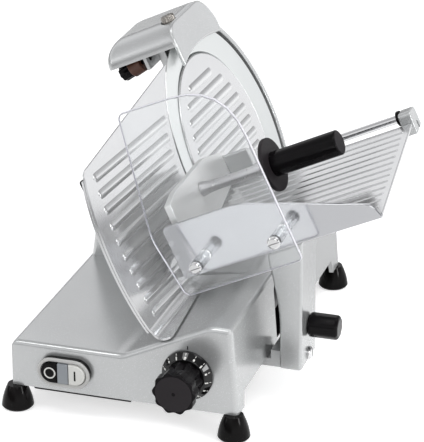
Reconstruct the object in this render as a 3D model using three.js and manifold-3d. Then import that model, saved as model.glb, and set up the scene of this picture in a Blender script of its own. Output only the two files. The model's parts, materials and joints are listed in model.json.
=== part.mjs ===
// A gravity food slicer with a 250 mm blade: cast base, leaning gauge plate and blade, sliding carriage
// with a clear hand guard and a swinging food pusher, a thickness dial, a two-button switch and a
// lift-off sharpener.
// Sizes are millimetres. X runs to the operator's right, Y runs to the back and Z runs up.
import * as THREE from "three";
import { mergeVertices } from "three/addons/utils/BufferGeometryUtils.js";
import Module from "manifold-3d";

const wasm = await Module();
wasm.setup();

// Driving dimensions: clearances and common sections
const GAP = 0.3; // between fixed pieces that touch
const SLIP = 1.2; // between pieces that pass each other
const WALL = 4; // casting wall
const EMBED = 1; // run of one joined shape into the next
const BORE_CLEARANCE = 0.6; // round a shaft that turns in a bore
const TILT = THREE.MathUtils.degToRad(25); // lean of the blade plane from upright

// Driving dimensions: base casting
const BASE_WIDTH = 223;
const BASE_DEPTH = 358;
const FOOT_HEIGHT = 24;
const FOOT_RADIUS = 14.5;
const FOOT_TOP_RADIUS = 9;
const FOOT_EDGE = 2; // rounding of a foot's lower edge
const FOOT_SHOULDER = 7; // height up to which a foot stays wide
const FOOT_WAIST = 17; // height where a foot is halfway to its top radius
const FOOT_INSET = 3; // of the left and front feet
const FOOT_RIGHT_INSET = 5;
const FOOT_REAR_INSET = 6;
const DECK_HEIGHT = 46; // of the low deck above the rim
const RIDGE_HEIGHT = 86; // of the carriage ridge above the rim
const RIDGE_WIDTH = 21;
const SIDE_DRAFT = 6; // of the right wall
const LEFT_DRAFT = 2;
const CORNER_RADIUS = 7;
const SKIRT_LIFT = 15; // of the right wall's lower edge above the rim
const SKIRT_END = 24; // full-depth corner left at the front of that edge
const SKIRT_REAR_END = 26; // full-depth corner left at its back
const SKIRT_FLARE = 4;
const SKIRT_CORNER = 6;
const ARCH_FRONT = 122; // opening in the right wall beside the carriage's arm
const ARCH_REAR = 240;
const ARCH_LIFT = 74; // of that opening's top above the rim
const COVER_THICKNESS = 2.5;
const PAN_THICKNESS = 2; // of the bottom cover
const PAN_LEFT = 2;
const PAN_RIGHT = 118; // of its narrow front part
const PAN_WIDE = 210; // right edge of its wide rear part
const PAN_STEP = 60; // depth where it widens
const PAN_FRONT = 1;
const PAN_REAR_INSET = 3;
const PAN_CORNER = 20; // cut off at the feet

// Driving dimensions: rear tower with the motor and drive
const TOWER_FRONT = 205;
const TOWER_OVERHANG = 44; // of the tower behind the base
const TOWER_WIDTH = 108.22; // of its foot to the left of the slope's toe
const TOWER_LEAN = 10;
const TOWER_SHOULDER = 60; // of the left wall above the deck
const TOWER_CROWN = 45; // of the tower top above the blade axis
const CROWN_STEPS = 6;
const CROWN_IN = 5; // of the crown arc's corner from the shoulder
const CROWN_DROP = 20; // of that corner below the tower top
const MOTOR_RADIUS = 43;
const MOTOR_LENGTH = 61;
const MOTOR_FORWARD = 57; // of the motor axis in front of the blade axis
const MOTOR_DROP = 33; // of the motor axis below the blade axis
const MOTOR_AIR = 3; // between the motor and its cowl
const MOTOR_GAP = 5; // between the motor and the pulleys
const MOTOR_SHAFT_DEPTH = 30; // of the rotor shaft inside the motor
const PULLEY_RADIUS = 38;
const PULLEY_WIDTH = 12;
const PULLEY_FLANGE = 2;
const GROOVE_DEPTH = 3;
const MOTOR_PULLEY_RADIUS = 12;
const MOTOR_SHAFT_RADIUS = 5;
const BELT_THICKNESS = 2.2;
const BELT_STEPS = 20;

// Driving dimensions: blade, its cover and its ring guard
const BLADE_RADIUS = 125;
const BLADE_Y = 340;
const BLADE_RISE = 79; // of the blade axis above the sloping base face
const BLADE_PLANE = 35; // of the cutting edge from the toe of the slope
const BLADE_DISH = 13;
const BLADE_WEB = 3.2;
const BLADE_WEB_RADIUS = 85; // of the blade's flat middle
const BLADE_KNEE_RADIUS = 97.5; // where the dish turns into the grind
const BLADE_KNEE_RISE = 4.7;
const BLADE_BEVEL_WIDTH = 2.5;
const BLADE_BEVEL_DEPTH = 2;
const COVER_RADIUS = 95.5;
const COVER_PLATE = 3.2;
const COVER_SET_BACK = 2; // of the cover's face behind the cutting edge
const COVER_RIB_PITCH = 14;
const COVER_RIB_WIDTH = 7;
const COVER_RIB_HEIGHT = 1.5;
const COVER_RIB_REACH = 78;
const COVER_RIB_FALL = 0.02; // of a rib per unit of depth
const COVER_BOSS_WALL = 6;
const RING_CLEARANCE = 4.5;
const RING_WIDTH = 6;
const RING_LIP = 2; // of the ring beyond the cutting edge
const RING_WEB = 2;
const RING_WEB_CLEARANCE = 4; // of the web round the blade flange
const RING_START = 8; // of the ring's upper end behind the blade axis
const RING_END_RISE = 5; // of the ring's lower end above the slope
const SHAFT_RADIUS = 7.5;
const FLANGE_RADIUS = 32;
const FLANGE_THICKNESS = 3.7;
const SPIGOT_RADIUS = 12;
const TIE_ROD_RADIUS = 3.2;
const TIE_KNOB_RADIUS = 11;
const TIE_KNOB_LENGTH = 15;
const TIE_KNOB_FLUTE = 1.2;
const TIE_KNOB_LOBES = 8;
const TIE_BOSS_REACH = 86; // of its boss to the left of the slope's toe
const TIE_BOSS_LENGTH = 20;
const TIE_BOSS_MARGIN = 1; // of the boss round the knob
const TIE_BORE_DEPTH = 36;
const BEARING_RADIUS = 17.5;
const BEARING_WIDTH = 11;
const BEARING_SPACE = 2;
const BEARING_PROUD = 1; // of the right bearing beyond the tower's face
const BEARING_BOSS_WALL = 5;
const DRIVE_GAP = 2.2; // between the bearings and the pulley

// Driving dimensions: thickness gauge
const PLATE_THICKNESS = 4; // with its ribs
const PLATE_TOP_SHARE = 0.88; // of the blade's radius, from its axis up to the plate's top
const PLATE_TOP_FALL = 18; // of that top towards the front
const PLATE_FRONT = 9; // depth of the plate's lower front corner
const PLATE_TOP_FRONT = 20; // depth of its upper front corner
const PLATE_BOW = 7; // of the front edge's control points beyond the panel
const PLATE_BOW_LOW = 55;
const PLATE_BOW_HIGH = 115;
const PLATE_CORNER = 8; // size of the front corners' rounding upwards
const PLATE_CORNER_RUN = 15; // and its run along the plate
const PLATE_FOOT = 1.5; // of the plate's lower edge above the slope
const RIM_DEPTH = 2; // of the front edge's turned-back rim
const RIM_WIDTH = 2.5;
const LEDGE_REACH = 20; // of the plate's curled foot to the right of its face, at the front
const LEDGE_REAR_REACH = 2; // and at the back
const LEDGE_REAR = 205;
const LEDGE_TIP = 11; // of its foremost point to the right of the face
const LEDGE_OVERHANG = 3; // of that point in front of the panel
const LEDGE_RADIUS = 11;
const LEDGE_THICKNESS = 2;
const LEDGE_CORNER = 7;
const PLATE_BLADE_GAP = 1.8;
const GAUGE_TRAVEL = 15;
const GAUGE_RIB_WIDTH = 8;
const GAUGE_RIB_HEIGHT = 2;
const GAUGE_RIB_COUNT = 10;
const GAUGE_RIB_FIRST = 31; // of the top rib below the plate's top
const GAUGE_RIB_LAST = 20.3; // of the lowest rib above the slope
const GAUGE_RIB_FALL = 0.055; // of a rib per unit of depth
const GAUGE_RIB_FRONT = 26; // depth of the middle rib's front end
const GAUGE_RIB_MIDDLE = 70; // height at which the front ends lie furthest forward
const GAUGE_RIB_SPAN = 88; // from there to the top rib
const GAUGE_RIB_BOW = 14; // of the top rib's front end behind the middle one
const GAUGE_RIB_MARGIN = 18; // between the ribs' rear ends and the blade
const GAUGE_ROD_RADIUS = 5;
const GAUGE_ROD_Y = 72;
const GAUGE_ROD_DROP = 21.5;
const GAUGE_ROD_FREE = 6; // bare rod left at each end of the travel
const GAUGE_ROD_TAIL = 8; // of the rod beyond its left support
const SLEEVE_WALL = 4;
const SLEEVE_LENGTH = 32;
const BRACKET_WIDTH = 26;
const BRACKET_THICKNESS = 8.5;
const BRACKET_RISE = 52;
const SLOT_MARGIN = 3.2; // of the slot round the bracket
const BUMPER_THICKNESS = 5.5;
const BUMPER_FRONT = 23;
const BUMPER_WIDTH = 8;
const BUMPER_BOTTOM = 150;
const BUMPER_HEIGHT = 13;
const BUMPER_CORNER = 2.5;

// Driving dimensions: front panel controls
const DIAL_FROM_RIGHT = 48;
const DIAL_RISE = 36; // of the dial axis above the rim
const DIAL_RADIUS = 24.5;
const DIAL_THICKNESS = 9;
const DIAL_GAP = 0.8; // between the dial and the panel
const DIAL_RIM = 3.2; // straight edge of the dial
const DIAL_SHOULDER_RADIUS = 19;
const KNOB_RADIUS = 21;
const KNOB_REACH = 42; // of the knob's face in front of the panel
const KNOB_HEAD = 13;
const KNOB_NECK_RADIUS = 16;
const KNOB_LOBES = 10;
const KNOB_FLUTE = 2;
const NECK_FLUTE = 1.5;
const DIAL_SHAFT_RADIUS = 4;
const DIAL_TURN = THREE.MathUtils.degToRad(280);
const CAM_RADIUS = 12;
const CAM_WIDTH = 8;
const CAM_Y = 8;
const CAM_DWELL = THREE.MathUtils.degToRad(22);
const CAM_STEPS = 28;
const SHAFT_SEAT = 3; // from the end of the knob's bore to the shaft
const FINGER_WIDTH = 4;
const FINGER_DEPTH = 5;
const FINGER_GAP = 0.7;
const SWITCH_X = 54;
const SWITCH_RISE = 22;
const SWITCH_LENGTH = 52.5;
const SWITCH_HEIGHT = 29;
const SWITCH_RIM = 4;
const SWITCH_DEPTH = 7;
const SWITCH_BLOCK_DEPTH = 22;
const BUTTON_PROUD = 2;
const BUTTON_BACK = 1; // of a button's back in front of the panel
const PILOT_LENGTH = 11;

// Driving dimensions: sharpener
const HOOD_LENGTH = 82;
const HOOD_FRONT = 38; // of the hood's front in front of the blade axis
const HOOD_BACK = 70; // of the hood's back behind the blade axis
const HOOD_RISE = 17; // of the hood's top above the blade edge
const HOOD_DROP = 6.5; // of the hood's lower edge below the blade edge
const HOOD_LEG_COVER = 22; // of the blade face hidden by the hood's right leg
const HOOD_FRONT_ROUND = 30;
const HOOD_BACK_ROUND = 26;
const HOOD_LEFT_ROUND = 22;
const HOOD_RIGHT_ROUND = 10;
const LEG_FRONT_DROP = 6; // of the leg's front corner below its middle
const LEG_BACK_DROP = 7;
const LEG_BACK_REACH = 11; // of the leg behind the hood
const LEG_BACK_SIDE = 14; // height of its rear edge
const LEG_ARCH = 4; // of its lower edge
const LEG_ARCH_FRONT = 36;
const LEG_ARCH_BACK = 70;
const LEG_BACK_ROUND = 24; // run of the leg's upper corners into the top
const LEG_FRONT_ROUND = 20;
const LEG_SHOULDER = 16; // of the leg's front edge below the top
const LEG_INSET = 1;
const POST_WIDTH = 24;
const POST_THICKNESS = 9;
const POST_BOSS_RISE = 6; // of the post's seat above the tower top
const POST_BOSS_DEPTH = 30;
const STONE_RADIUS = 10;
const STONE_LENGTH = 14;
const STONE_SPACING = 26;
const STONE_TILT = THREE.MathUtils.degToRad(12);
const STONE_TRAVEL = 4;
const STONE_DROP = 11; // of the stones' axes below the blade edge
const STONE_FORWARD = 6; // of the pair in front of the blade axis
const CARRIER_THICKNESS = 4;
const SPINDLE_BORE = 40; // reach of the bore on both sides of the carrier
const SPINDLE_RADIUS = 3;
const STONE_KNOB_RADIUS = 8.5;
const STONE_KNOB_LENGTH = 13;
const STONE_KNOB_FLUTE = 1.2;
const STONE_KNOB_LOBES = 8;
const CLAMP_SCREW_RADIUS = 6.2;
const CLAMP_SCREW_BACK = 28; // of the clamp screw behind the hood's front
const CLAMP_SCREW_IN = 5; // of its axis from the hood's inner right face
const CLAMP_PROUD = 3;
const CLAMP_HEAD = 10;
const CLAMP_SHANK = 5;
const CLAMP_WELL = 8; // depth of the well round its head
const CLAMP_CLEARANCE = 0.7;
const CLAMP_BOSS_WALL = 5;
const CLAMP_BOSS_DEPTH = 12;
const SLOT_WIDTH = 1.7; // of the screwdriver slots
const SLOT_DEPTH = 1.5;

// Driving dimensions: carriage, tray, guard and pusher
const BAR_FROM_RIGHT = 28;
const BAR_RISE = 24;
const BAR_RADIUS = 8;
const BAR_SUPPORT = 10; // thickness of the webs that hold the slide bar
const BAR_FRONT = 18;
const BAR_REAR_INSET = 12;
const BLOCK_LENGTH = 40;
const BLOCK_WALL = 6;
const LINK_WIDTH = 30; // of the link from the block to the arm
const LINK_THICKNESS = 8;
const LINK_UPSTAND = 9; // of its end at the arm
const LINK_STAND_OFF = 3; // between that end and the base
const LINK_SCREW_RISE = 4; // of the arm's screw above the link
const ARM_GAP = 14; // from the base's side to the arm
const ARM_WIDTH = 22;
const ARM_LENGTH = 50;
const ARM_Y = 86;
const ARM_LIFT = 9;
const ARM_FLARE = 11;
const ARM_KNEE = 69; // height of the flare's start above the rim
const ARM_FLARE_RISE = 50;
const ARM_TOP_DROP = 3; // of the arm's flat top below the tray
const ARM_PAD_INSET = 2; // of the pad under the tray
const ARM_BORE_DEPTH = 12;
const CARRIAGE_KNOB_RADIUS = 12.5;
const CARRIAGE_KNOB_LENGTH = 30;
const CARRIAGE_KNOB_RISE = 48;
const CARRIAGE_KNOB_SIDES = 8;
const CARRIAGE_KNOB_EDGE = 2;
const CARRIAGE_KNOB_CROWN = 6; // length of its rounded end
const CARRIAGE_KNOB_END_RADIUS = 8.5;
const CARRIAGE_STUD_RADIUS = 4.5;
const TRAY_LEFT = 42;
const TRAY_RIGHT = 263;
const TRAY_Y = 80;
const TRAY_DEPTH = 160;
const TRAY_RISE = 31;
const TRAY_PITCH = 0.18; // rise of the tray per unit of depth
const TRAY_THICKNESS = 3;
const TRAY_RIB_COUNT = 13;
const TRAY_RIB_WIDTH = 3;
const TRAY_RIB_HEIGHT = 1.2;
const TRAY_RIB_SIDE = 1; // run of a rib's sloping sides
const TRAY_RIB_FRONT = 12; // of the first rib from the fence
const TRAY_RIB_REAR = 4; // smooth strip behind the last rib's place
const TRAY_RIB_LEFT = 8; // bare ends of the tray
const TRAY_RIB_RIGHT = 6;
const FENCE_THICKNESS = 4;
const FENCE_LEFT = 55;
const FENCE_TOP = 83;
const FENCE_FOOT_DROP = 2; // of the fence's foot below the tray's top
const FENCE_FOOT_FALL = 2; // of that foot towards the right
const FENCE_RIGHT_RISE = 13;
const FENCE_RIGHT_LEAN = 5;
const FENCE_RIGHT_ROUND = 8;
const FENCE_SHOULDER = 82; // length of its level top
const FENCE_SHOULDER_ROUND = 12;
const FENCE_LEFT_ROUND = 6;
const GUARD_THICKNESS = 4;
const GUARD_STAND_OFF = 27;
const GUARD_LEFT = 55;
const GUARD_RIGHT = 187.5;
const GUARD_BOTTOM = 20.5;
const GUARD_TOP = 206;
const GUARD_CORNER = 55;
const GUARD_RIGHT_ROUND = 6;
const GUARD_TOP_FALL = 4; // of the top edge towards the right
const GUARD_TOP_LEFT = 23; // of the top's left end from the guard's left
const GUARD_FOOT_LEFT = 8;
const GUARD_LEFT_RISE = 63; // of the left side's widest place
const GUARD_LEFT_ROUND = 10;
const GUARD_END_ROUND = 8;
const GUARD_SCREW_RISE = 45.5;
const GUARD_SCREWS = [85.5, 168.6];
const SPACER_RADIUS = 6;
const SCREW_RADIUS = 2.5;
const SCREW_HEAD_RADIUS = 6.3;
const SCREW_HEAD_HEIGHT = 3.5;
const ROD_RADIUS = 4.2;
const ROD_BEHIND = 11; // of the rod's axis behind the tray
const ROD_ABOVE = 5.2; // of the axis above the tray's rear edge
const ROD_BRACKET_LENGTH = 13;
const ROD_SEAT = 9;
const ROD_BRACKET_BACK = 5; // of a bracket behind the rod
const ROD_BRACKET_TOP = 2; // and above it
const ROD_BRACKET_FOOT = 9; // of its front below the tray
const ROD_BRACKET_HEEL = 6;
const ROD_BRACKET_ROUND = 4;
const ROD_BRACKET_OVERHANG = 2; // of the right bracket beyond the tray
const KEYHOLE_WIDTH = 5; // of the recess in the right bracket's end
const KEYHOLE_LENGTH = 11;
const KEYHOLE_DEPTH = 1.5;
const KEYHOLE_DROP = 12; // of its middle below the rod
const STOP_THICKNESS = 3.5;
const STOP_WALL = 3.2;
const BUSH_WALL = 2.2;
const BUSH_LENGTH = 36;
const PUSHER_LEFT = 60;
const PUSHER_THICKNESS = 7;
const PUSHER_FRONT = 88;
const PUSHER_TOP = 105;
const PUSHER_LIFT = 2.5; // of the plate above the tray's ribs
const PUSHER_BACK_DROP = 10; // of the plate's rear corner below its top
const PUSHER_TOP_BACK = 32; // of the top's rear end behind the shaft
const PUSHER_TOP_FRONT = 22; // of the top's front end behind the plate's front
const PUSHER_TOP_FALL = 1;
const PUSHER_FRONT_DROP = 6;
const PUSHER_ROUND = 10;
const PUSHER_FRONT_ROUND = 8;
const PUSHER_FOOT_ROUND = 4;
const BLOCK_END = 1; // of the bush beyond the hinge block at each end
const BLOCK_FRONT = 2; // of the block in front of the rod brackets
const BLOCK_BACK = 4; // of the block behind the bush
const BLOCK_FOOT = 5; // of the block below the bush
const BLOCK_HEEL = 4;
const BLOCK_SHOULDER = 8; // of the block's back above the bush
const BLOCK_TOP = 20; // of the block's front above the bush
const BLOCK_CHIN = 2; // of the block's front corner below the rod
const BLOCK_ROUND = 5;
const BLOCK_TOP_ROUND = 3;
const PUSHER_SHAFT_Y = 165;
const PUSHER_SHAFT_RISE = 84;
const PUSHER_SHAFT_RADIUS = 5.5;
const SHAFT_FOOT_RADIUS = 7.5;
const SHAFT_FOOT_LENGTH = 12;
const SHAFT_HEAD_RADIUS = 8.5;
const SHAFT_HEAD_LENGTH = 14;
const COLLAR_LEFT = 144;
const COLLAR_RADIUS = 26.5;
const COLLAR_THICKNESS = 4;
const HANDLE_RADIUS = 12.3;
const HANDLE_LENGTH = 74;
const HANDLE_EDGE = 2;
const COLLAR_EDGE = 1;

// Driving dimensions: mains inlet
const GLAND_X = 40;
const GLAND_RISE = 20;
const GLAND_BORE = 3.5;
const GLAND_RADIUS = 9;
const GLAND_FLANGE = 4;
const GLAND_TIP_RADIUS = 7;
const GLAND_LENGTH = 11;

// Sides of round pieces, and steps of each rounded corner of an outline
const SIDES_PIN = 18;
const SIDES_BEARING = 20;
const SIDES_TURNED = 24;
const SIDES_MOTOR = 28;
const SIDES_RING = 48;
const SIDES_COVER = 56;
const SIDES_BLADE = 64;
const STEPS_SHELL = 8;
const STEPS_GUARD = 10;
const STEPS_PLATE = 14;
const STEPS_RING = 22;

// Places that follow from the driving dimensions
const deckZ = FOOT_HEIGHT + DECK_HEIGHT;
const ridgeZ = FOOT_HEIGHT + RIDGE_HEIGHT;
const ridgeRight = BASE_WIDTH - SIDE_DRAFT;
const ridgeLeft = ridgeRight - RIDGE_WIDTH;
const toeX = ridgeLeft - (RIDGE_HEIGHT - DECK_HEIGHT) / Math.tan(TILT);
const sin = Math.sin(TILT);
const cos = Math.cos(TILT);

// Finishes: colour, roughness and metalness
const FINISH = {
  casting: [0xb9bcbf, 0.45, 0.7],
  polished: [0xd4d6d8, 0.2, 1],
  brushed: [0xc9ccce, 0.35, 0.9],
  steel: [0xa8abae, 0.3, 1],
  sheet: [0x9a9da0, 0.5, 0.8],
  black: [0x1b1a1b, 0.5, 0],
  rubber: [0x121212, 0.85, 0],
  white: [0xe9e9e6, 0.4, 0],
  grey: [0x8e969c, 0.45, 0],
  bezel: [0xd7d9d8, 0.4, 0],
  clear: [0xe4ecf0, 0.05, 0],
  stone: [0x6b3a22, 0.9, 0],
  nylon: [0xe3e1d8, 0.6, 0],
};

// A closed geometry as a solid whose faces point out.
function solidFrom(geometry) {
  const bare = new THREE.BufferGeometry();
  const flat = geometry.index ? geometry.toNonIndexed() : geometry;
  bare.setAttribute("position", flat.getAttribute("position"));
  const merged = mergeVertices(bare, 1e-4);
  const index = merged.index.array;
  const forward = [];
  const backward = [];
  for (let i = 0; i < index.length; i += 3) {
    const [a, b, c] = [index[i], index[i + 1], index[i + 2]];
    if (a !== b && b !== c && c !== a) {
      forward.push(a, b, c);
      backward.push(a, c, b);
    }
  }
  const build = (triangles) =>
    new wasm.Manifold(
      new wasm.Mesh({
        numProp: 3,
        vertProperties: new Float32Array(merged.attributes.position.array),
        triVerts: new Uint32Array(triangles),
      }),
    );
  const made = build(forward);
  return made.volume() < 0 ? build(backward) : made;
}

const join = (first, ...rest) => rest.reduce((whole, solid) => whole.add(solid), first);
const cut = (first, ...rest) => rest.reduce((whole, solid) => whole.subtract(solid), first);

// Axis frames: the drawing plane's two axes, then the direction of extrusion or of the turning axis.
const vx = new THREE.Vector3(1, 0, 0);
const vy = new THREE.Vector3(0, 1, 0);
const vz = new THREE.Vector3(0, 0, 1);
const AXES = {
  x: new THREE.Matrix4().makeBasis(vy, vz, vx),
  y: new THREE.Matrix4().makeBasis(vx, vz, vy),
  z: new THREE.Matrix4().makeBasis(vx, vy, vz),
};

// The leaning frame: x leaves the blade face, y runs back and z climbs the gauge plate.
// Its origin is the slope's toe.
const leanMatrix = new THREE.Matrix4().makeRotationY(-TILT).setPosition(toeX, 0, deckZ);
const FLAT = new THREE.Matrix4();

// World X and Z of a point of the leaning frame.
const leanPoint = (n, u) => [toeX + n * cos - u * sin, deckZ + n * sin + u * cos];

// An outline through points, each with an optional corner radius as its third number.
function outline(points) {
  const shape = new THREE.Shape();
  points.forEach(([a, b, radius = 0], i) => {
    const here = new THREE.Vector2(a, b);
    if (radius === 0) {
      i === 0 ? shape.moveTo(a, b) : shape.lineTo(a, b);
      return;
    }
    const before = points[(i + points.length - 1) % points.length];
    const after = points[(i + 1) % points.length];
    const towards = (p) => new THREE.Vector2(p[0], p[1]).sub(here);
    const back = towards(before);
    const ahead = towards(after);
    const start = here.clone().addScaledVector(back, Math.min(radius / back.length(), 0.49));
    const end = here.clone().addScaledVector(ahead, Math.min(radius / ahead.length(), 0.49));
    i === 0 ? shape.moveTo(start.x, start.y) : shape.lineTo(start.x, start.y);
    shape.quadraticCurveTo(a, b, end.x, end.y);
  });
  shape.closePath();
  return shape;
}

// The same outline drawn in by a distance; the points run anticlockwise.
function shrink(points, distance) {
  return points.map(([a, b], i) => {
    const [a0, b0] = points[(i + points.length - 1) % points.length];
    const [a1, b1] = points[(i + 1) % points.length];
    const into = new THREE.Vector2(a - a0, b - b0).normalize();
    const away = new THREE.Vector2(a1 - a, b1 - b).normalize();
    const turn = 1 + into.dot(away);
    const shift = new THREE.Vector2(-into.y - away.y, into.x + away.x).multiplyScalar(distance / turn);
    return [a + shift.x, b + shift.y];
  });
}

// A straight bar of an outline along an axis: along x the outline is (y, z), along y it is (x, z).
function bar(points, axis, from, to, frame = FLAT, segments = 5) {
  const shape = points instanceof THREE.Shape ? points : outline(points);
  const geometry = new THREE.ExtrudeGeometry(shape, {
    depth: to - from,
    bevelEnabled: false,
    curveSegments: segments,
  });
  geometry.translate(0, 0, from);
  geometry.applyMatrix4(AXES[axis]).applyMatrix4(frame);
  return solidFrom(geometry);
}

const box = (x0, x1, y0, y1, z0, z1, frame = FLAT) =>
  bar([[x0, y0], [x1, y0], [x1, y1], [x0, y1]], "z", z0, z1, frame);

// A turned solid about an axis through a centre: the profile lists radius and distance along the axis.
function turned(profile, axis, centre, frame = FLAT, segments = SIDES_TURNED) {
  const points = profile.map(([radius, along]) => new THREE.Vector2(radius, along));
  const geometry = new THREE.LatheGeometry(points, segments);
  geometry.applyMatrix4(new THREE.Matrix4().makeRotationX(Math.PI / 2));
  geometry.applyMatrix4(AXES[axis]);
  geometry.translate(...centre);
  geometry.applyMatrix4(frame);
  return solidFrom(geometry);
}

// Centre of a turned solid that lies along an axis, from its other two coordinates.
const CENTRE = {
  x: (b, c) => [0, b, c],
  y: (b, c) => [b, 0, c],
  z: (b, c) => [b, c, 0],
};

const rod = (axis, from, to, radius, [b, c], frame = FLAT, segments = SIDES_PIN) =>
  turned([[0, from], [radius, from], [radius, to], [0, to]], axis, CENTRE[axis](b, c), frame, segments);

const tube = (axis, from, to, inner, outer, [b, c], frame = FLAT, segments = SIDES_PIN) =>
  turned(
    [[inner, from], [outer, from], [outer, to], [inner, to], [inner, from]],
    axis,
    CENTRE[axis](b, c),
    frame,
    segments,
  );

// An outline with round ends from one point to another.
function capsule([a0, b0], [a1, b1], width) {
  const angle = Math.atan2(b1 - b0, a1 - a0);
  const shape = new THREE.Shape();
  shape.absarc(a1, b1, width / 2, angle - Math.PI / 2, angle + Math.PI / 2, false);
  shape.absarc(a0, b0, width / 2, angle + Math.PI / 2, angle + 1.5 * Math.PI, false);
  shape.closePath();
  return shape;
}

// A fluted outline round the origin for knobs.
function lobed(radius, depth, lobes, steps = 4) {
  const points = [];
  for (let i = 0; i < lobes * steps; i++) {
    const angle = (2 * Math.PI * i) / (lobes * steps);
    const reach = radius - depth * (0.5 - 0.5 * Math.cos(lobes * angle));
    points.push([reach * Math.cos(angle), reach * Math.sin(angle)]);
  }
  return points;
}

const root = new THREE.Group();
const upright = new THREE.Group(); // pieces square to the base
const leaning = new THREE.Group(); // pieces square to the blade
leaning.position.set(toeX, 0, deckZ);
leaning.rotation.y = -TILT;
root.add(upright, leaning);

function piece(name, solid, finish, group) {
  const made = solid.getMesh();
  const geometry = new THREE.BufferGeometry();
  geometry.setAttribute("position", new THREE.BufferAttribute(made.vertProperties, 3));
  geometry.setIndex(new THREE.BufferAttribute(made.triVerts, 1));
  geometry.computeVertexNormals();
  const [color, roughness, metalness] = FINISH[finish];
  const mesh = new THREE.Mesh(geometry, new THREE.MeshStandardMaterial({ color, roughness, metalness }));
  mesh.name = name;
  group.add(mesh);
}

// Shared places in the leaning frame
const bladeAxis = [BLADE_Y, BLADE_RISE];
const motorAxis = [BLADE_Y - MOTOR_FORWARD, BLADE_RISE - MOTOR_DROP];
const bladeTop = BLADE_RISE + BLADE_RADIUS;
const bladeBack = BLADE_PLANE - BLADE_DISH;
const flangeBack = bladeBack - GAP - FLANGE_THICKNESS;
const ringPlateBack = flangeBack - RING_WEB;
const webFace = ringPlateBack - GAP;
const bearingsRight = webFace + BEARING_PROUD;
const bearingsLeft = bearingsRight - 2 * BEARING_WIDTH - BEARING_SPACE;
const bearingBoss = BEARING_RADIUS + BEARING_BOSS_WALL;
const bearingSeat = BEARING_RADIUS + GAP;
const pulleyRight = bearingsLeft - DRIVE_GAP;
const pulleyLeft = pulleyRight - PULLEY_WIDTH;
const motorRight = pulleyLeft - MOTOR_GAP;
const motorLeft = motorRight - MOTOR_LENGTH;
const ringInner = BLADE_RADIUS + RING_CLEARANCE;
const ringOuter = ringInner + RING_WIDTH;
const ringRight = BLADE_PLANE + RING_LIP;
const hoodRight = ringRight + SLIP;
const barX = BASE_WIDTH - BAR_FROM_RIGHT;
const barZ = FOOT_HEIGHT + BAR_RISE;
const barRear = BASE_DEPTH - BAR_REAR_INSET;
const towerRear = BASE_DEPTH + TOWER_OVERHANG;
const towerLeft = toeX - TOWER_WIDTH;
const dialX = BASE_WIDTH - DIAL_FROM_RIGHT;
const dialZ = FOOT_HEIGHT + DIAL_RISE;
const dialN = (dialX - toeX) * cos + (dialZ - deckZ) * sin;
const dialU = (deckZ - dialZ) * -cos - (dialX - toeX) * sin;
const plateBack = BLADE_PLANE - PLATE_THICKNESS;
const plateTop = BLADE_RISE + BLADE_RADIUS * PLATE_TOP_SHARE;
const plateFrontTop = plateTop - PLATE_TOP_FALL;
const plateFace = BLADE_PLANE - GAUGE_RIB_HEIGHT;
const bracketRight = plateBack - GAP;
const bracketLeft = bracketRight - BRACKET_THICKNESS;
const gaugeRodAxis = [GAUGE_ROD_Y, -GAUGE_ROD_DROP];
const sleeveRadius = GAUGE_ROD_RADIUS + GAP + SLEEVE_WALL;
const rodSupportRight = bracketRight + GAUGE_ROD_FREE;
const sleeveLeft = bracketRight - SLEEVE_LENGTH;
const rodSupportLeft = sleeveLeft - GAUGE_TRAVEL - GAUGE_ROD_FREE;
const switchZ = FOOT_HEIGHT + SWITCH_RISE;
const pocketLength = SWITCH_LENGTH - 2 * SWITCH_RIM;
const pocketHeight = SWITCH_HEIGHT - 2 * SWITCH_RIM;
const postBoss = BLADE_RISE + TOWER_CROWN + POST_BOSS_RISE;

// Base casting: low deck, slope, ridge, rear tower and motor cowl, hollow and open below and behind.
const baseOutline = [
  [0, FOOT_HEIGHT],
  [BASE_WIDTH, FOOT_HEIGHT],
  [ridgeRight, ridgeZ],
  [ridgeLeft, ridgeZ],
  [toeX, deckZ],
  [LEFT_DRAFT, deckZ],
];
const footprint = (inset) => [
  [inset, inset, CORNER_RADIUS],
  [BASE_WIDTH - inset, inset, CORNER_RADIUS],
  [BASE_WIDTH - inset, BASE_DEPTH - inset, CORNER_RADIUS],
  [inset, BASE_DEPTH - inset, CORNER_RADIUS],
];
const towerTop = leanPoint(webFace, BLADE_RISE + TOWER_CROWN);
const towerToe = leanPoint(webFace, -WALL);
const shoulder = [towerLeft + TOWER_LEAN, deckZ + TOWER_SHOULDER];
const crownCorner = [shoulder[0] + CROWN_IN, towerTop[1] - CROWN_DROP];

// The tower's left shoulder as a quadratic arc up to its crown.
function towerOutline() {
  const arc = new THREE.QuadraticBezierCurve(
    new THREE.Vector2(...towerTop),
    new THREE.Vector2(...crownCorner),
    new THREE.Vector2(...shoulder),
  );
  const crown = arc.getPoints(CROWN_STEPS).map((p) => [p.x, p.y]);
  return [[towerLeft, deckZ - 2 * WALL], [towerToe[0], deckZ - 2 * WALL], towerToe, ...crown];
}

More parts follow.
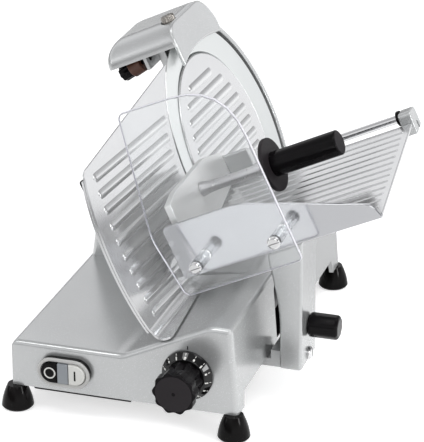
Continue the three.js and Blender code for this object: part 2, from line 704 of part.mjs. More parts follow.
function baseHousing() {
  const cowlRadius = MOTOR_RADIUS + MOTOR_AIR + WALL;
  const cowlLeft = motorLeft - MOTOR_AIR - WALL;
  const bossLeft = -TIE_BOSS_REACH;
  const tieBossRadius = TIE_KNOB_RADIUS + TIE_BOSS_MARGIN;
  const postFront = BLADE_Y - POST_WIDTH / 2 - WALL;
  const postRear = BLADE_Y + POST_WIDTH / 2 + WALL;
  const tower = towerOutline();
  const towerHollow = shrink(tower, WALL);
  const hollow = shrink(baseOutline, WALL);
  const tall = ridgeZ + WALL;
  const outer = join(
    bar(baseOutline, "y", 0, BASE_DEPTH).intersect(bar(footprint(0), "z", 0, tall)),
    bar(tower, "y", TOWER_FRONT, towerRear),
    rod("x", cowlLeft, webFace - WALL, cowlRadius, motorAxis, leanMatrix, SIDES_MOTOR),
    rod("x", bossLeft, bossLeft + TIE_BOSS_LENGTH, tieBossRadius, bladeAxis, leanMatrix),
    box(
      webFace - POST_THICKNESS - WALL,
      webFace,
      postFront,
      postRear,
      postBoss - POST_BOSS_DEPTH,
      postBoss,
      leanMatrix,
    ),
  );
  const openBelow = hollow.map(([x, z]) => [x, z === hollow[0][1] ? 0 : z]);
  const inner = join(
    bar(openBelow, "y", WALL, BASE_DEPTH - WALL).intersect(bar(footprint(WALL), "z", 0, tall)),
    bar(towerHollow, "y", TOWER_FRONT + WALL, towerRear + WALL),
    box(
      towerLeft + 2 * WALL,
      towerToe[0] - 2 * WALL,
      TOWER_FRONT + WALL,
      BASE_DEPTH - WALL,
      FOOT_HEIGHT,
      deckZ + WALL,
    ),
    rod("x", motorLeft - MOTOR_AIR, 0, MOTOR_RADIUS + MOTOR_AIR, motorAxis, leanMatrix, SIDES_MOTOR),
  );
  const barHalf = BAR_RADIUS + WALL;
  const barWeb = (y) =>
    box(barX - barHalf, barX + barHalf, y, y + BAR_SUPPORT, barZ - barHalf, ridgeZ - EMBED);
  const rodFront = GAUGE_ROD_Y - sleeveRadius;
  const rodBack = GAUGE_ROD_Y + sleeveRadius;
  const rodFloor = -GAUGE_ROD_DROP - sleeveRadius;
  const rightWeb = rodSupportRight + BAR_SUPPORT;
  const [leftWebX, leftWebZ] = leanPoint(rodSupportLeft, -GAUGE_ROD_DROP);
  const whole = join(
    cut(outer, inner),
    rod("x", bearingsLeft - GAP, webFace, bearingBoss, bladeAxis, leanMatrix, SIDES_BEARING),
    barWeb(BAR_FRONT),
    barWeb(barRear - BAR_SUPPORT),
    box(leftWebX - BAR_SUPPORT, leftWebX, rodFront, rodBack, leftWebZ - sleeveRadius, deckZ - EMBED),
    box(rodSupportRight, rightWeb, rodFront, rodBack, rodFloor, -EMBED, leanMatrix),
  );
  const skirt = [
    [SKIRT_END - SKIRT_FLARE, 0],
    [BASE_DEPTH - SKIRT_REAR_END, 0],
    [BASE_DEPTH - SKIRT_REAR_END - SKIRT_FLARE, FOOT_HEIGHT + SKIRT_LIFT, SKIRT_CORNER],
    [ARCH_REAR, FOOT_HEIGHT + SKIRT_LIFT],
    [ARCH_REAR, FOOT_HEIGHT + ARCH_LIFT, SKIRT_CORNER],
    [ARCH_FRONT, FOOT_HEIGHT + ARCH_LIFT, SKIRT_CORNER],
    [ARCH_FRONT, FOOT_HEIGHT + SKIRT_LIFT],
    [SKIRT_END, FOOT_HEIGHT + SKIRT_LIFT, SKIRT_CORNER],
  ];
  const slotFront = GAUGE_ROD_Y - BRACKET_WIDTH / 2 - SLOT_MARGIN;
  const slotRear = GAUGE_ROD_Y + BRACKET_WIDTH / 2 + SLOT_MARGIN;
  const tieBore = TIE_ROD_RADIUS + BORE_CLEARANCE;
  const rodEnd = rightWeb + BAR_SUPPORT;
  return cut(
    whole,
    bar(skirt, "x", BASE_WIDTH - SIDE_DRAFT - 2 * WALL, BASE_WIDTH + EMBED),
    rod("x", webFace, hoodRight, ringInner, bladeAxis, leanMatrix, SIDES_RING),
    rod("x", bearingsLeft - WALL, webFace + EMBED, bearingSeat, bladeAxis, leanMatrix, SIDES_BEARING),
    rod("x", bossLeft - EMBED, bossLeft + TIE_BORE_DEPTH, tieBore, bladeAxis, leanMatrix),
    rod("y", BAR_FRONT - EMBED, barRear + EMBED, BAR_RADIUS + GAP, [barX, barZ]),
    rod("x", rodSupportLeft - 2 * BAR_SUPPORT, rodEnd, GAUGE_ROD_RADIUS + GAP, gaugeRodAxis, leanMatrix),
    box(
      bracketLeft - GAUGE_TRAVEL - SLIP,
      bracketRight + SLIP,
      slotFront,
      slotRear,
      -2 * WALL,
      WALL,
      leanMatrix,
    ),
    rod("y", -EMBED, WALL + EMBED, DIAL_SHAFT_RADIUS + BORE_CLEARANCE, [dialX, dialZ]),
    bar(oval(pocketLength, pocketHeight), "y", -EMBED, WALL + EMBED, switchPlace),
  );
}

// A lying oval about its centre.
function oval(length, height) {
  return capsule([-(length - height) / 2, 0], [(length - height) / 2, 0], height);
}
const switchPlace = new THREE.Matrix4().makeTranslation(SWITCH_X, 0, switchZ);

piece("base_housing", baseHousing(), "casting", upright);

// Bottom cover, rear cover and feet
const panTop = FOOT_HEIGHT - GAP;
const panRear = BASE_DEPTH - PAN_REAR_INSET;
piece(
  "bottom_cover",
  bar(
    [
      [PAN_LEFT + PAN_CORNER, PAN_FRONT],
      [PAN_RIGHT, PAN_FRONT],
      [PAN_RIGHT, PAN_STEP],
      [PAN_WIDE, PAN_STEP],
      [PAN_WIDE, panRear - PAN_CORNER],
      [PAN_WIDE - PAN_CORNER, panRear],
      [PAN_LEFT + PAN_CORNER, panRear],
      [PAN_LEFT, panRear - PAN_CORNER],
      [PAN_LEFT, PAN_FRONT + PAN_CORNER],
    ],
    "z",
    panTop - PAN_THICKNESS,
    panTop,
  ),
  "black",
  upright,
);
piece(
  "rear_cover",
  bar(towerOutline(), "y", towerRear + GAP, towerRear + GAP + COVER_THICKNESS),
  "sheet",
  upright,
);
const footRight = BASE_WIDTH - FOOT_RIGHT_INSET;
const footRear = BASE_DEPTH - FOOT_REAR_INSET;
const FEET = {
  front_left: [FOOT_INSET, FOOT_INSET],
  front_right: [footRight, FOOT_INSET],
  rear_left: [FOOT_INSET, footRear],
  rear_right: [footRight, footRear],
};
for (const [corner, place] of Object.entries(FEET)) {
  const profile = [
    [0, 0],
    [FOOT_RADIUS - FOOT_EDGE, 0],
    [FOOT_RADIUS, FOOT_EDGE],
    [FOOT_RADIUS - FOOT_EDGE / 2, FOOT_SHOULDER],
    [(FOOT_RADIUS + FOOT_TOP_RADIUS) / 2, FOOT_WAIST],
    [FOOT_TOP_RADIUS, FOOT_HEIGHT - GAP],
    [0, FOOT_HEIGHT - GAP],
  ];
  piece(`foot_${corner}`, turned(profile, "z", [...place, 0], FLAT, SIDES_TURNED), "rubber", upright);
}

// Two-button switch: oval bezel, stop and start buttons, pilot lens and contact block
const half = pocketLength / 2 - GAP;
const pilotHalf = PILOT_LENGTH / 2;
const buttonOutline = oval(pocketLength - 2 * GAP, pocketHeight - 2 * GAP);
const buttonFront = -SWITCH_DEPTH - BUTTON_PROUD;
const buttonBlock = () => bar(buttonOutline, "y", buttonFront, -BUTTON_BACK, switchPlace);
const sliceFoot = switchZ - SWITCH_HEIGHT;
const sliceTop = switchZ + SWITCH_HEIGHT;
const slice = (from, to) =>
  box(SWITCH_X + from, SWITCH_X + to, buttonFront - EMBED, WALL, sliceFoot, sliceTop);
piece(
  "switch_bezel",
  cut(
    bar(oval(SWITCH_LENGTH, SWITCH_HEIGHT), "y", -SWITCH_DEPTH, -GAP, switchPlace),
    bar(oval(pocketLength, pocketHeight), "y", -SWITCH_DEPTH - EMBED, EMBED, switchPlace),
  ),
  "bezel",
  upright,
);
piece("stop_button", buttonBlock().intersect(slice(-half - EMBED, -pilotHalf - GAP)), "black", upright);
piece("start_button", buttonBlock().intersect(slice(pilotHalf + GAP, half + EMBED)), "white", upright);
piece("pilot_lens", buttonBlock().intersect(slice(-pilotHalf, pilotHalf)), "grey", upright);
piece(
  "switch_block",
  box(
    SWITCH_X - pocketLength / 2,
    SWITCH_X + pocketLength / 2,
    WALL + GAP,
    WALL + GAP + SWITCH_BLOCK_DEPTH,
    switchZ - pocketHeight / 2,
    switchZ + pocketHeight / 2,
  ),
  "black",
  upright,
);

// Thickness control: dial, knob and the shaft with its snail cam
const dialPlace = [dialX, 0, dialZ];
const dialFront = -DIAL_THICKNESS - GAP;
const dialMatrix = new THREE.Matrix4().makeTranslation(...dialPlace);
piece(
  "thickness_dial",
  turned(
    [
      [DIAL_SHAFT_RADIUS + GAP, -DIAL_GAP],
      [DIAL_RADIUS, -DIAL_GAP],
      [DIAL_RADIUS, -DIAL_GAP - DIAL_RIM],
      [DIAL_SHOULDER_RADIUS, dialFront],
      [DIAL_SHAFT_RADIUS + GAP, dialFront],
      [DIAL_SHAFT_RADIUS + GAP, -DIAL_GAP],
    ],
    "y",
    dialPlace,
    FLAT,
    SIDES_TURNED,
  ),
  "black",
  upright,
);
const headBack = -KNOB_REACH + KNOB_HEAD;
const neckOutline = lobed(KNOB_NECK_RADIUS, NECK_FLUTE, KNOB_LOBES);
piece(
  "thickness_knob",
  cut(
    join(
      bar(lobed(KNOB_RADIUS, KNOB_FLUTE, KNOB_LOBES), "y", -KNOB_REACH, headBack, dialMatrix),
      bar(neckOutline, "y", headBack - EMBED, dialFront - GAP, dialMatrix),
    ),
    rod("y", headBack, 0, DIAL_SHAFT_RADIUS + GAP, [dialX, dialZ]),
  ),
  "black",
  upright,
);

// Cam radius against its angle from the finger: a dwell, a steady rise over the dial's turn and a drop.
function camOutline() {
  const top = CAM_RADIUS + GAUGE_TRAVEL;
  const marks = [[-CAM_DWELL, CAM_RADIUS], [0, CAM_RADIUS]];
  for (let i = 1; i <= CAM_STEPS; i++) {
    marks.push([(DIAL_TURN * i) / CAM_STEPS, CAM_RADIUS + (GAUGE_TRAVEL * i) / CAM_STEPS]);
  }
  marks.push([DIAL_TURN + CAM_DWELL, top]);
  // The finger touches on the side away from the blade face; the dial turns the cam's rise towards it.
  return marks.map(([angle, radius]) => {
    const place = Math.PI + TILT + angle;
    return [radius * Math.cos(place), radius * Math.sin(place)];
  });
}
piece(
  "cam_shaft",
  join(
    rod("y", headBack + SHAFT_SEAT, CAM_Y + CAM_WIDTH + EMBED, DIAL_SHAFT_RADIUS, [dialX, dialZ]),
    bar(camOutline(), "y", CAM_Y, CAM_Y + CAM_WIDTH, dialMatrix),
  ),
  "steel",
  upright,
);

// Gauge plate: a bowed front edge, a rear edge cut round the blade, and raised ribs along its length
function gaugePlate() {
  const shape = new THREE.Shape();
  const reach = BLADE_RADIUS + PLATE_BLADE_GAP;
  const topAngle = Math.PI - Math.asin((plateTop - BLADE_RISE) / reach);
  const low = PLATE_FOOT - BLADE_RISE;
  const footAngle = Math.PI - Math.asin(low / reach);
  const lowFront = [PLATE_FRONT, PLATE_FOOT + PLATE_CORNER];
  const highFront = [PLATE_TOP_FRONT, plateFrontTop - PLATE_CORNER];
  const bowLow = [-PLATE_BOW, PLATE_BOW_LOW];
  const bowHigh = [-PLATE_BOW, PLATE_BOW_HIGH];
  shape.moveTo(PLATE_FRONT + PLATE_CORNER, PLATE_FOOT);
  shape.quadraticCurveTo(PLATE_FRONT, PLATE_FOOT, ...lowFront);
  shape.bezierCurveTo(...bowLow, ...bowHigh, ...highFront);
  const topFront = PLATE_TOP_FRONT + PLATE_CORNER_RUN;
  shape.quadraticCurveTo(PLATE_TOP_FRONT, plateFrontTop, topFront, plateFrontTop);
  shape.lineTo(BLADE_Y + reach * Math.cos(topAngle), plateTop);
  shape.absarc(BLADE_Y, BLADE_RISE, reach, topAngle, footAngle, false);
  shape.closePath();
  const plate = bar(shape, "x", plateBack, plateFace, FLAT, STEPS_PLATE);

  // The front edge turned back into a rim.
  const inward = ([y, u]) => [y + RIM_WIDTH, u];
  const rimShape = new THREE.Shape();
  rimShape.moveTo(...lowFront);
  rimShape.bezierCurveTo(...bowLow, ...bowHigh, ...highFront);
  rimShape.lineTo(...inward(highFront));
  rimShape.bezierCurveTo(...inward(bowHigh), ...inward(bowLow), ...inward(lowFront));
  rimShape.closePath();
  const rim = bar(rimShape, "x", plateBack - RIM_DEPTH, plateBack + EMBED, FLAT, STEPS_PLATE);

  // The foot curled to the right into a ledge, with a round front corner.
  const ledgeTop = PLATE_FOOT + LEDGE_THICKNESS;
  const curl = new THREE.Shape();
  curl.moveTo(plateBack + EMBED, PLATE_FOOT);
  curl.lineTo(plateFace + LEDGE_REACH, PLATE_FOOT);
  curl.lineTo(plateFace + LEDGE_REACH, ledgeTop);
  curl.lineTo(plateFace + LEDGE_RADIUS, ledgeTop);
  curl.absarc(plateFace + LEDGE_RADIUS, ledgeTop + LEDGE_RADIUS, LEDGE_RADIUS, -Math.PI / 2, -Math.PI, true);
  curl.lineTo(plateBack + EMBED, ledgeTop + LEDGE_RADIUS);
  curl.closePath();
  const plan = [
    [plateBack, PLATE_FRONT + EMBED],
    [plateFace + LEDGE_TIP, -LEDGE_OVERHANG, LEDGE_CORNER],
    [plateFace + LEDGE_REACH, 0, LEDGE_CORNER],
    [plateFace + LEDGE_REAR_REACH, LEDGE_REAR],
    [plateBack, LEDGE_REAR],
  ];
  const ledge = bar(curl, "y", -LEDGE_OVERHANG, LEDGE_REAR, FLAT, STEPS_SHELL).intersect(
    bar(plan, "z", 0, ledgeTop + LEDGE_RADIUS + EMBED),
  );

  const firstRise = plateTop - GAUGE_RIB_FIRST;
  const pitch = (firstRise - GAUGE_RIB_LAST) / (GAUGE_RIB_COUNT - 1);
  const ribs = [];
  for (let i = 0; i < GAUGE_RIB_COUNT; i++) {
    const rise = firstRise - i * pitch;
    const bow = (rise - GAUGE_RIB_MIDDLE) / GAUGE_RIB_SPAN;
    const front = GAUGE_RIB_FRONT + GAUGE_RIB_BOW * bow * bow;
    const across = (rise - BLADE_RISE) / reach;
    const rear = BLADE_Y - reach * Math.sqrt(1 - across * across) - GAUGE_RIB_MARGIN;
    const fall = GAUGE_RIB_FALL * (rear - front);
    const rib = capsule([front, rise], [rear, rise - fall], GAUGE_RIB_WIDTH);
    ribs.push(bar(rib, "x", plateBack + EMBED, BLADE_PLANE, FLAT, 3));
  }
  return join(plate, rim, ledge, ...ribs);
}
piece("gauge_plate", gaugePlate(), "brushed", leaning);

const fingerTip = dialN - CAM_RADIUS - FINGER_GAP;
const boreRight = Math.max(fingerTip, bracketRight) + EMBED;
piece(
  "gauge_bracket",
  cut(
    join(
      box(
        bracketLeft,
        bracketRight,
        GAUGE_ROD_Y - BRACKET_WIDTH / 2,
        GAUGE_ROD_Y + BRACKET_WIDTH / 2,
        -GAUGE_ROD_DROP,
        BRACKET_RISE,
      ),
      rod("x", sleeveLeft, bracketRight, sleeveRadius, gaugeRodAxis),
      box(
        bracketLeft,
        fingerTip,
        CAM_Y + CAM_WIDTH + SLIP,
        GAUGE_ROD_Y - BRACKET_WIDTH / 2 + EMBED,
        dialU - FINGER_WIDTH / 2,
        -GAUGE_ROD_DROP + EMBED,
      ),
      box(
        fingerTip - FINGER_DEPTH,
        fingerTip,
        CAM_Y + EMBED,
        CAM_Y + CAM_WIDTH + SLIP + EMBED,
        dialU - FINGER_WIDTH / 2,
        dialU + FINGER_WIDTH / 2,
      ),
    ),
    rod("x", sleeveLeft - EMBED, boreRight, GAUGE_ROD_RADIUS + GAP, gaugeRodAxis),
  ),
  "steel",
  leaning,
);
const gaugeRodLeft = rodSupportLeft - GAUGE_ROD_TAIL;
const gaugeRodLength = rodSupportRight + BAR_SUPPORT - EMBED - gaugeRodLeft;
piece(
  "gauge_rod",
  rod("x", gaugeRodLeft, gaugeRodLeft + gaugeRodLength, GAUGE_ROD_RADIUS, gaugeRodAxis),
  "polished",
  leaning,
);
const bumperRight = plateBack - GAP;
const bumperRear = BUMPER_FRONT + BUMPER_WIDTH;
const bumperTop = BUMPER_BOTTOM + BUMPER_HEIGHT;
piece(
  "gauge_bumper",
  bar(
    [
      [BUMPER_FRONT, BUMPER_BOTTOM, BUMPER_CORNER],
      [bumperRear, BUMPER_BOTTOM, BUMPER_CORNER],
      [bumperRear, bumperTop, BUMPER_CORNER],
      [BUMPER_FRONT, bumperTop, BUMPER_CORNER],
    ],
    "x",
    bumperRight - BUMPER_THICKNESS,
    bumperRight,
  ),
  "rubber",
  leaning,
);

// Blade, hub, pulley and bearings on the blade axis
const bladeCentre = CENTRE.x(...bladeAxis);
const bladeFront = bladeBack + BLADE_WEB;
piece(
  "blade",
  turned(
    [
      [SPIGOT_RADIUS + GAP, bladeBack],
      [BLADE_WEB_RADIUS, bladeBack],
      [BLADE_KNEE_RADIUS, bladeBack + BLADE_KNEE_RISE],
      [BLADE_RADIUS - BLADE_BEVEL_WIDTH, BLADE_PLANE - BLADE_BEVEL_DEPTH],
      [BLADE_RADIUS, BLADE_PLANE],
      [BLADE_KNEE_RADIUS, bladeFront + BLADE_KNEE_RISE],
      [BLADE_WEB_RADIUS - EMBED, bladeFront],
      [SPIGOT_RADIUS + GAP, bladeFront],
      [SPIGOT_RADIUS + GAP, bladeBack],
    ],
    "x",
    bladeCentre,
    FLAT,
    SIDES_BLADE,
  ),
  "polished",
  leaning,
);
piece(
  "blade_shaft",
  turned(
    [
      [TIE_ROD_RADIUS + GAP, pulleyLeft],
      [SHAFT_RADIUS, pulleyLeft],
      [SHAFT_RADIUS, flangeBack],
      [FLANGE_RADIUS, flangeBack],
      [FLANGE_RADIUS, bladeBack - GAP],
      [SPIGOT_RADIUS, bladeBack - GAP],
      [SPIGOT_RADIUS, bladeFront],
      [TIE_ROD_RADIUS + GAP, bladeFront],
      [TIE_ROD_RADIUS + GAP, pulleyLeft],
    ],
    "x",
    bladeCentre,
  ),
  "steel",
  leaning,
);

// A flat-belt pulley with a flange on each side.
const pulley = (radius, bore, centre) =>
  turned(
    [
      [bore, pulleyLeft],
      [radius, pulleyLeft],
      [radius, pulleyLeft + PULLEY_FLANGE],
      [radius - GROOVE_DEPTH, pulleyLeft + PULLEY_FLANGE],
      [radius - GROOVE_DEPTH, pulleyRight - PULLEY_FLANGE],
      [radius, pulleyRight - PULLEY_FLANGE],
      [radius, pulleyRight],
      [bore, pulleyRight],
      [bore, pulleyLeft],
    ],
    "x",
    CENTRE.x(...centre),
    FLAT,
    SIDES_TURNED,
  );
piece("blade_pulley", pulley(PULLEY_RADIUS, SHAFT_RADIUS + GAP, bladeAxis), "steel", leaning);
const BEARINGS = { left: bearingsLeft, right: bearingsLeft + BEARING_WIDTH + BEARING_SPACE };
for (const [side, left] of Object.entries(BEARINGS)) {
  const right = left + BEARING_WIDTH - GAP;
  piece(
    `bearing_${side}`,
    tube("x", left, right, SHAFT_RADIUS + GAP, BEARING_RADIUS, bladeAxis, FLAT, SIDES_BEARING),
    "steel",
    leaning,
  );
}

// Blade cover with ribs in line with the gauge ribs, held by a tie rod through the hollow shaft
const coverFace = BLADE_PLANE - COVER_SET_BACK;
const coverBack = coverFace - COVER_PLATE;
function bladeCover() {
  const disc = rod("x", coverBack, coverFace, COVER_RADIUS, bladeAxis, FLAT, SIDES_COVER);
  const boss = rod("x", bladeFront + GAP, coverBack + EMBED, TIE_ROD_RADIUS + COVER_BOSS_WALL, bladeAxis);
  const ribs = [];
  const count = Math.floor(COVER_RIB_REACH / COVER_RIB_PITCH);
  for (let i = -count; i <= count; i++) {
    const rise = i * COVER_RIB_PITCH;
    const half = Math.sqrt(COVER_RIB_REACH ** 2 - rise ** 2) - COVER_RIB_WIDTH / 2;
    const fall = COVER_RIB_FALL * half;
    const from = [BLADE_Y - half, BLADE_RISE + rise + fall];
    const to = [BLADE_Y + half, BLADE_RISE + rise - fall];
    const shape = capsule(from, to, COVER_RIB_WIDTH);
    ribs.push(bar(shape, "x", coverFace - EMBED, coverFace + COVER_RIB_HEIGHT, FLAT, 3));
  }
  const thread = rod("x", bladeFront - EMBED, coverBack + EMBED, TIE_ROD_RADIUS + GAP, bladeAxis);
  return cut(join(disc, boss, ...ribs), thread);
}
piece("blade_cover", bladeCover(), "brushed", leaning);
const tieKnobRight = -TIE_BOSS_REACH - GAP;
const tieKnobMatrix = new THREE.Matrix4().makeTranslation(0, BLADE_Y, BLADE_RISE);
const tieKnobOutline = lobed(TIE_KNOB_RADIUS, TIE_KNOB_FLUTE, TIE_KNOB_LOBES);
piece(
  "cover_tie_rod",
  join(
    bar(tieKnobOutline, "x", tieKnobRight - TIE_KNOB_LENGTH, tieKnobRight, tieKnobMatrix),
    rod("x", tieKnobRight - EMBED, coverBack - GAP, TIE_ROD_RADIUS, bladeAxis),
  ),
  "black",
  leaning,
);

// Ring guard: an arc round the blade's back half, on a web behind the blade
function ringGuard() {
  const from = Math.asin((RING_END_RISE - BLADE_RISE) / ringInner);
  const to = Math.acos(RING_START / ringInner);
  const arc = (inner, outer) => {
    const shape = new THREE.Shape();
    shape.absarc(BLADE_Y, BLADE_RISE, outer, from, to, false);
    shape.absarc(BLADE_Y, BLADE_RISE, inner, to, from, true);
    shape.closePath();
    return shape;
  };
  const ring = bar(arc(ringInner, ringOuter), "x", ringPlateBack, ringRight, FLAT, STEPS_RING);
  const webArc = arc(FLANGE_RADIUS + RING_WEB_CLEARANCE, ringInner + EMBED);
  const web = bar(webArc, "x", ringPlateBack, ringPlateBack + RING_WEB, FLAT, STEPS_RING);
  return join(ring, web);
}
piece("ring_guard", ringGuard(), "casting", leaning);

// Motor, its pulley and the belt
piece(
  "motor_body",
  cut(
    rod("x", motorLeft, motorRight - GAP, MOTOR_RADIUS, motorAxis, FLAT, SIDES_MOTOR),
    rod("x", motorRight - MOTOR_SHAFT_DEPTH, motorRight, MOTOR_SHAFT_RADIUS + BORE_CLEARANCE, motorAxis),
  ),
  "sheet",
  leaning,
);
piece(
  "motor_pulley",
  join(
    pulley(MOTOR_PULLEY_RADIUS, MOTOR_SHAFT_RADIUS - EMBED, motorAxis),
    rod("x", motorRight - MOTOR_SHAFT_DEPTH + SLIP, pulleyRight, MOTOR_SHAFT_RADIUS, motorAxis),
  ),
  "steel",
  leaning,
);

// A loop that wraps both pulleys, drawn round circles of the two radii.
function beltLoop(big, small) {
  const dy = motorAxis[0] - bladeAxis[0];
  const du = motorAxis[1] - bladeAxis[1];
  const heading = Math.atan2(du, dy);
  const spread = Math.acos((big - small) / Math.hypot(dy, du));
  const points = [];
  const wrap = (centre, radius, from, to) => {
    for (let i = 0; i <= BELT_STEPS; i++) {
      const angle = from + ((to - from) * i) / BELT_STEPS;
      const place = [centre[0] + radius * Math.cos(angle), centre[1] + radius * Math.sin(angle)];
      points.push(new THREE.Vector2(...place));
    }
  };
  wrap(bladeAxis, big, heading + spread, heading + 2 * Math.PI - spread);
  wrap(motorAxis, small, heading - spread, heading + spread);
  return points;
}
const bigSeat = PULLEY_RADIUS - GROOVE_DEPTH + GAP;
const smallSeat = MOTOR_PULLEY_RADIUS - GROOVE_DEPTH + GAP;
const beltShape = new THREE.Shape(beltLoop(bigSeat + BELT_THICKNESS, smallSeat + BELT_THICKNESS));
beltShape.holes.push(new THREE.Path(beltLoop(bigSeat, smallSeat)));
piece(
  "drive_belt",
  bar(beltShape, "x", pulleyLeft + PULLEY_FLANGE + GAP, pulleyRight - PULLEY_FLANGE - GAP),
  "rubber",
  leaning,
);

// Sharpener: hood on a post, two stones on spring plungers and a clamp screw
const hoodTop = bladeTop + HOOD_RISE;
const hoodBottom = bladeTop - HOOD_DROP;
const hoodLeft = hoodRight + WALL - HOOD_LENGTH;
const hoodFrontY = BLADE_Y - HOOD_FRONT;
const hoodBackY = BLADE_Y + HOOD_BACK;
const postRight = webFace - GAP;
const postLeft = postRight - POST_THICKNESS;
const clampPlace = [hoodRight - CLAMP_SCREW_IN, hoodFrontY + CLAMP_SCREW_BACK];
const stoneRise = bladeTop - STONE_DROP;
const carrierRight = postLeft - SLIP - STONE_TRAVEL;
const stoneFoot = carrierRight - CARRIER_THICKNESS;
const hoodSection = (inset) => [
  [hoodFrontY + inset, hoodBottom],
  [hoodBackY - inset, hoodBottom],
  [hoodBackY - inset, hoodTop - inset, HOOD_BACK_ROUND],
  [hoodFrontY + inset, hoodTop - inset, HOOD_FRONT_ROUND],
];
const spindleBore = SPINDLE_RADIUS + GAP;
const stoneMiddle = BLADE_Y - STONE_FORWARD;
const stoneYs = [stoneMiddle - STONE_SPACING / 2, stoneMiddle + STONE_SPACING / 2];
function sharpenerHood() {
  const end = [
    [hoodLeft, hoodBottom - 2 * HOOD_LEG_COVER],
    [hoodRight + WALL, hoodBottom - 2 * HOOD_LEG_COVER],
    [hoodRight + WALL, hoodTop, HOOD_RIGHT_ROUND],
    [hoodLeft, hoodTop, HOOD_LEFT_ROUND],
  ];
  const leg = new THREE.Shape();
  const legFoot = bladeTop - HOOD_LEG_COVER;
  const legFront = hoodFrontY + LEG_INSET;
  const legBack = hoodBackY + LEG_BACK_REACH;
  const legBackFoot = legFoot - LEG_BACK_DROP;
  const legTop = hoodTop - LEG_INSET;
  const archFront = [hoodFrontY + LEG_ARCH_FRONT, legFoot + LEG_ARCH];
  const archBack = [hoodFrontY + LEG_ARCH_BACK, legFoot + LEG_ARCH];
  leg.moveTo(legFront, legFoot - LEG_FRONT_DROP);
  leg.bezierCurveTo(...archFront, ...archBack, legBack, legBackFoot);
  leg.lineTo(legBack, legBackFoot + LEG_BACK_SIDE);
  leg.quadraticCurveTo(hoodBackY, legTop, hoodBackY - LEG_BACK_ROUND, legTop);
  leg.lineTo(hoodFrontY + LEG_FRONT_ROUND, legTop);
  leg.quadraticCurveTo(legFront, legTop, legFront, legTop - LEG_SHOULDER);
  leg.closePath();
  const outer = join(
    bar(hoodSection(0), "x", hoodLeft, hoodRight + WALL, FLAT, STEPS_SHELL),
    bar(leg, "x", hoodRight, hoodRight + WALL, FLAT, STEPS_SHELL),
  ).intersect(bar(end, "y", hoodFrontY - EMBED, legBack + EMBED, FLAT, STEPS_SHELL));
  const inner = bar(hoodSection(WALL), "x", hoodLeft + WALL, hoodRight, FLAT, STEPS_SHELL);
  const below = box(
    hoodLeft + WALL,
    hoodRight,
    hoodFrontY + WALL,
    hoodBackY - WALL,
    hoodBottom - EMBED,
    hoodBottom + EMBED,
  );
  const shell = cut(outer, inner, below);
  const bossFloor = hoodTop - CLAMP_BOSS_DEPTH;
  const bossRadius = CLAMP_SCREW_RADIUS + CLAMP_BOSS_WALL;
  const clampBoss = rod("z", bossFloor, hoodTop - EMBED, bossRadius, clampPlace);
  const carrier = box(
    stoneFoot,
    carrierRight,
    stoneYs[0] - STONE_RADIUS,
    stoneYs[1] + STONE_RADIUS,
    stoneRise - STONE_RADIUS,
    hoodTop - WALL / 2,
  );
  const within = bar(hoodSection(EMBED), "x", hoodLeft, hoodRight + EMBED, FLAT, STEPS_SHELL);
  const boss = clampBoss.intersect(within);
  return cut(
    join(shell, carrier, boss),
    rod("x", webFace, hoodRight, ringOuter + SLIP, bladeAxis, FLAT, SIDES_RING),
    rod("z", hoodTop - CLAMP_WELL, hoodTop + EMBED, CLAMP_SCREW_RADIUS + CLAMP_CLEARANCE, clampPlace),
    rod("z", bossFloor - EMBED, hoodTop, spindleBore, clampPlace),
    ...stoneYs.map((y) => rod("x", -SPINDLE_BORE, SPINDLE_BORE, spindleBore, [0, 0], plungerMatrix(y))),
  );
}

// A plunger's own frame: x runs from the knob through the stone to the carrier.
function plungerMatrix(y) {
  return new THREE.Matrix4().makeRotationY(-STONE_TILT).setPosition(stoneFoot, y, stoneRise);
}
piece("sharpener_hood", sharpenerHood(), "casting", leaning);
piece(
  "sharpener_post",
  box(
    postLeft,
    postRight,
    BLADE_Y - POST_WIDTH / 2,
    BLADE_Y + POST_WIDTH / 2,
    postBoss + GAP,
    hoodTop - WALL - SLIP,
  ),
  "casting",
  leaning,
);
const stoneKnobOutline = lobed(STONE_KNOB_RADIUS, STONE_KNOB_FLUTE, STONE_KNOB_LOBES);
stoneYs.forEach((y, i) => {
  const name = ["grinding", "honing"][i];
  const matrix = plungerMatrix(y);
  const stoneRight = -STONE_TRAVEL - GAP - STONE_RADIUS * Math.tan(STONE_TILT);
  const stoneLeft = stoneRight - STONE_LENGTH;
  const knobRight = stoneLeft - GAP;
  piece(
    `${name}_stone`,
    tube("x", stoneLeft, stoneRight, spindleBore, STONE_RADIUS, [0, 0], matrix, SIDES_MOTOR),
    "stone",
    leaning,
  );
  piece(
    `${name}_knob`,
    join(
      bar(stoneKnobOutline, "x", knobRight - STONE_KNOB_LENGTH, knobRight, matrix),
      rod("x", knobRight - EMBED, CARRIER_THICKNESS - EMBED, SPINDLE_RADIUS, [0, 0], matrix),
    ),
    "black",
    leaning,
  );
});
const clampTop = hoodTop + CLAMP_PROUD;
const clampHeadFoot = clampTop - CLAMP_HEAD;
piece(
  "clamp_screw",
  cut(
    join(
      rod("z", clampHeadFoot, clampTop, CLAMP_SCREW_RADIUS, clampPlace),
      rod("z", clampHeadFoot - CLAMP_SHANK, clampHeadFoot + EMBED, SPINDLE_RADIUS, clampPlace),
    ),
    box(
      clampPlace[0] - CLAMP_SCREW_RADIUS - EMBED,
      clampPlace[0] + CLAMP_SCREW_RADIUS + EMBED,
      clampPlace[1] - SLOT_WIDTH / 2,
      clampPlace[1] + SLOT_WIDTH / 2,
      clampTop - SLOT_DEPTH,
      clampTop + EMBED,
    ),
  ),
  "polished",
  leaning,
);

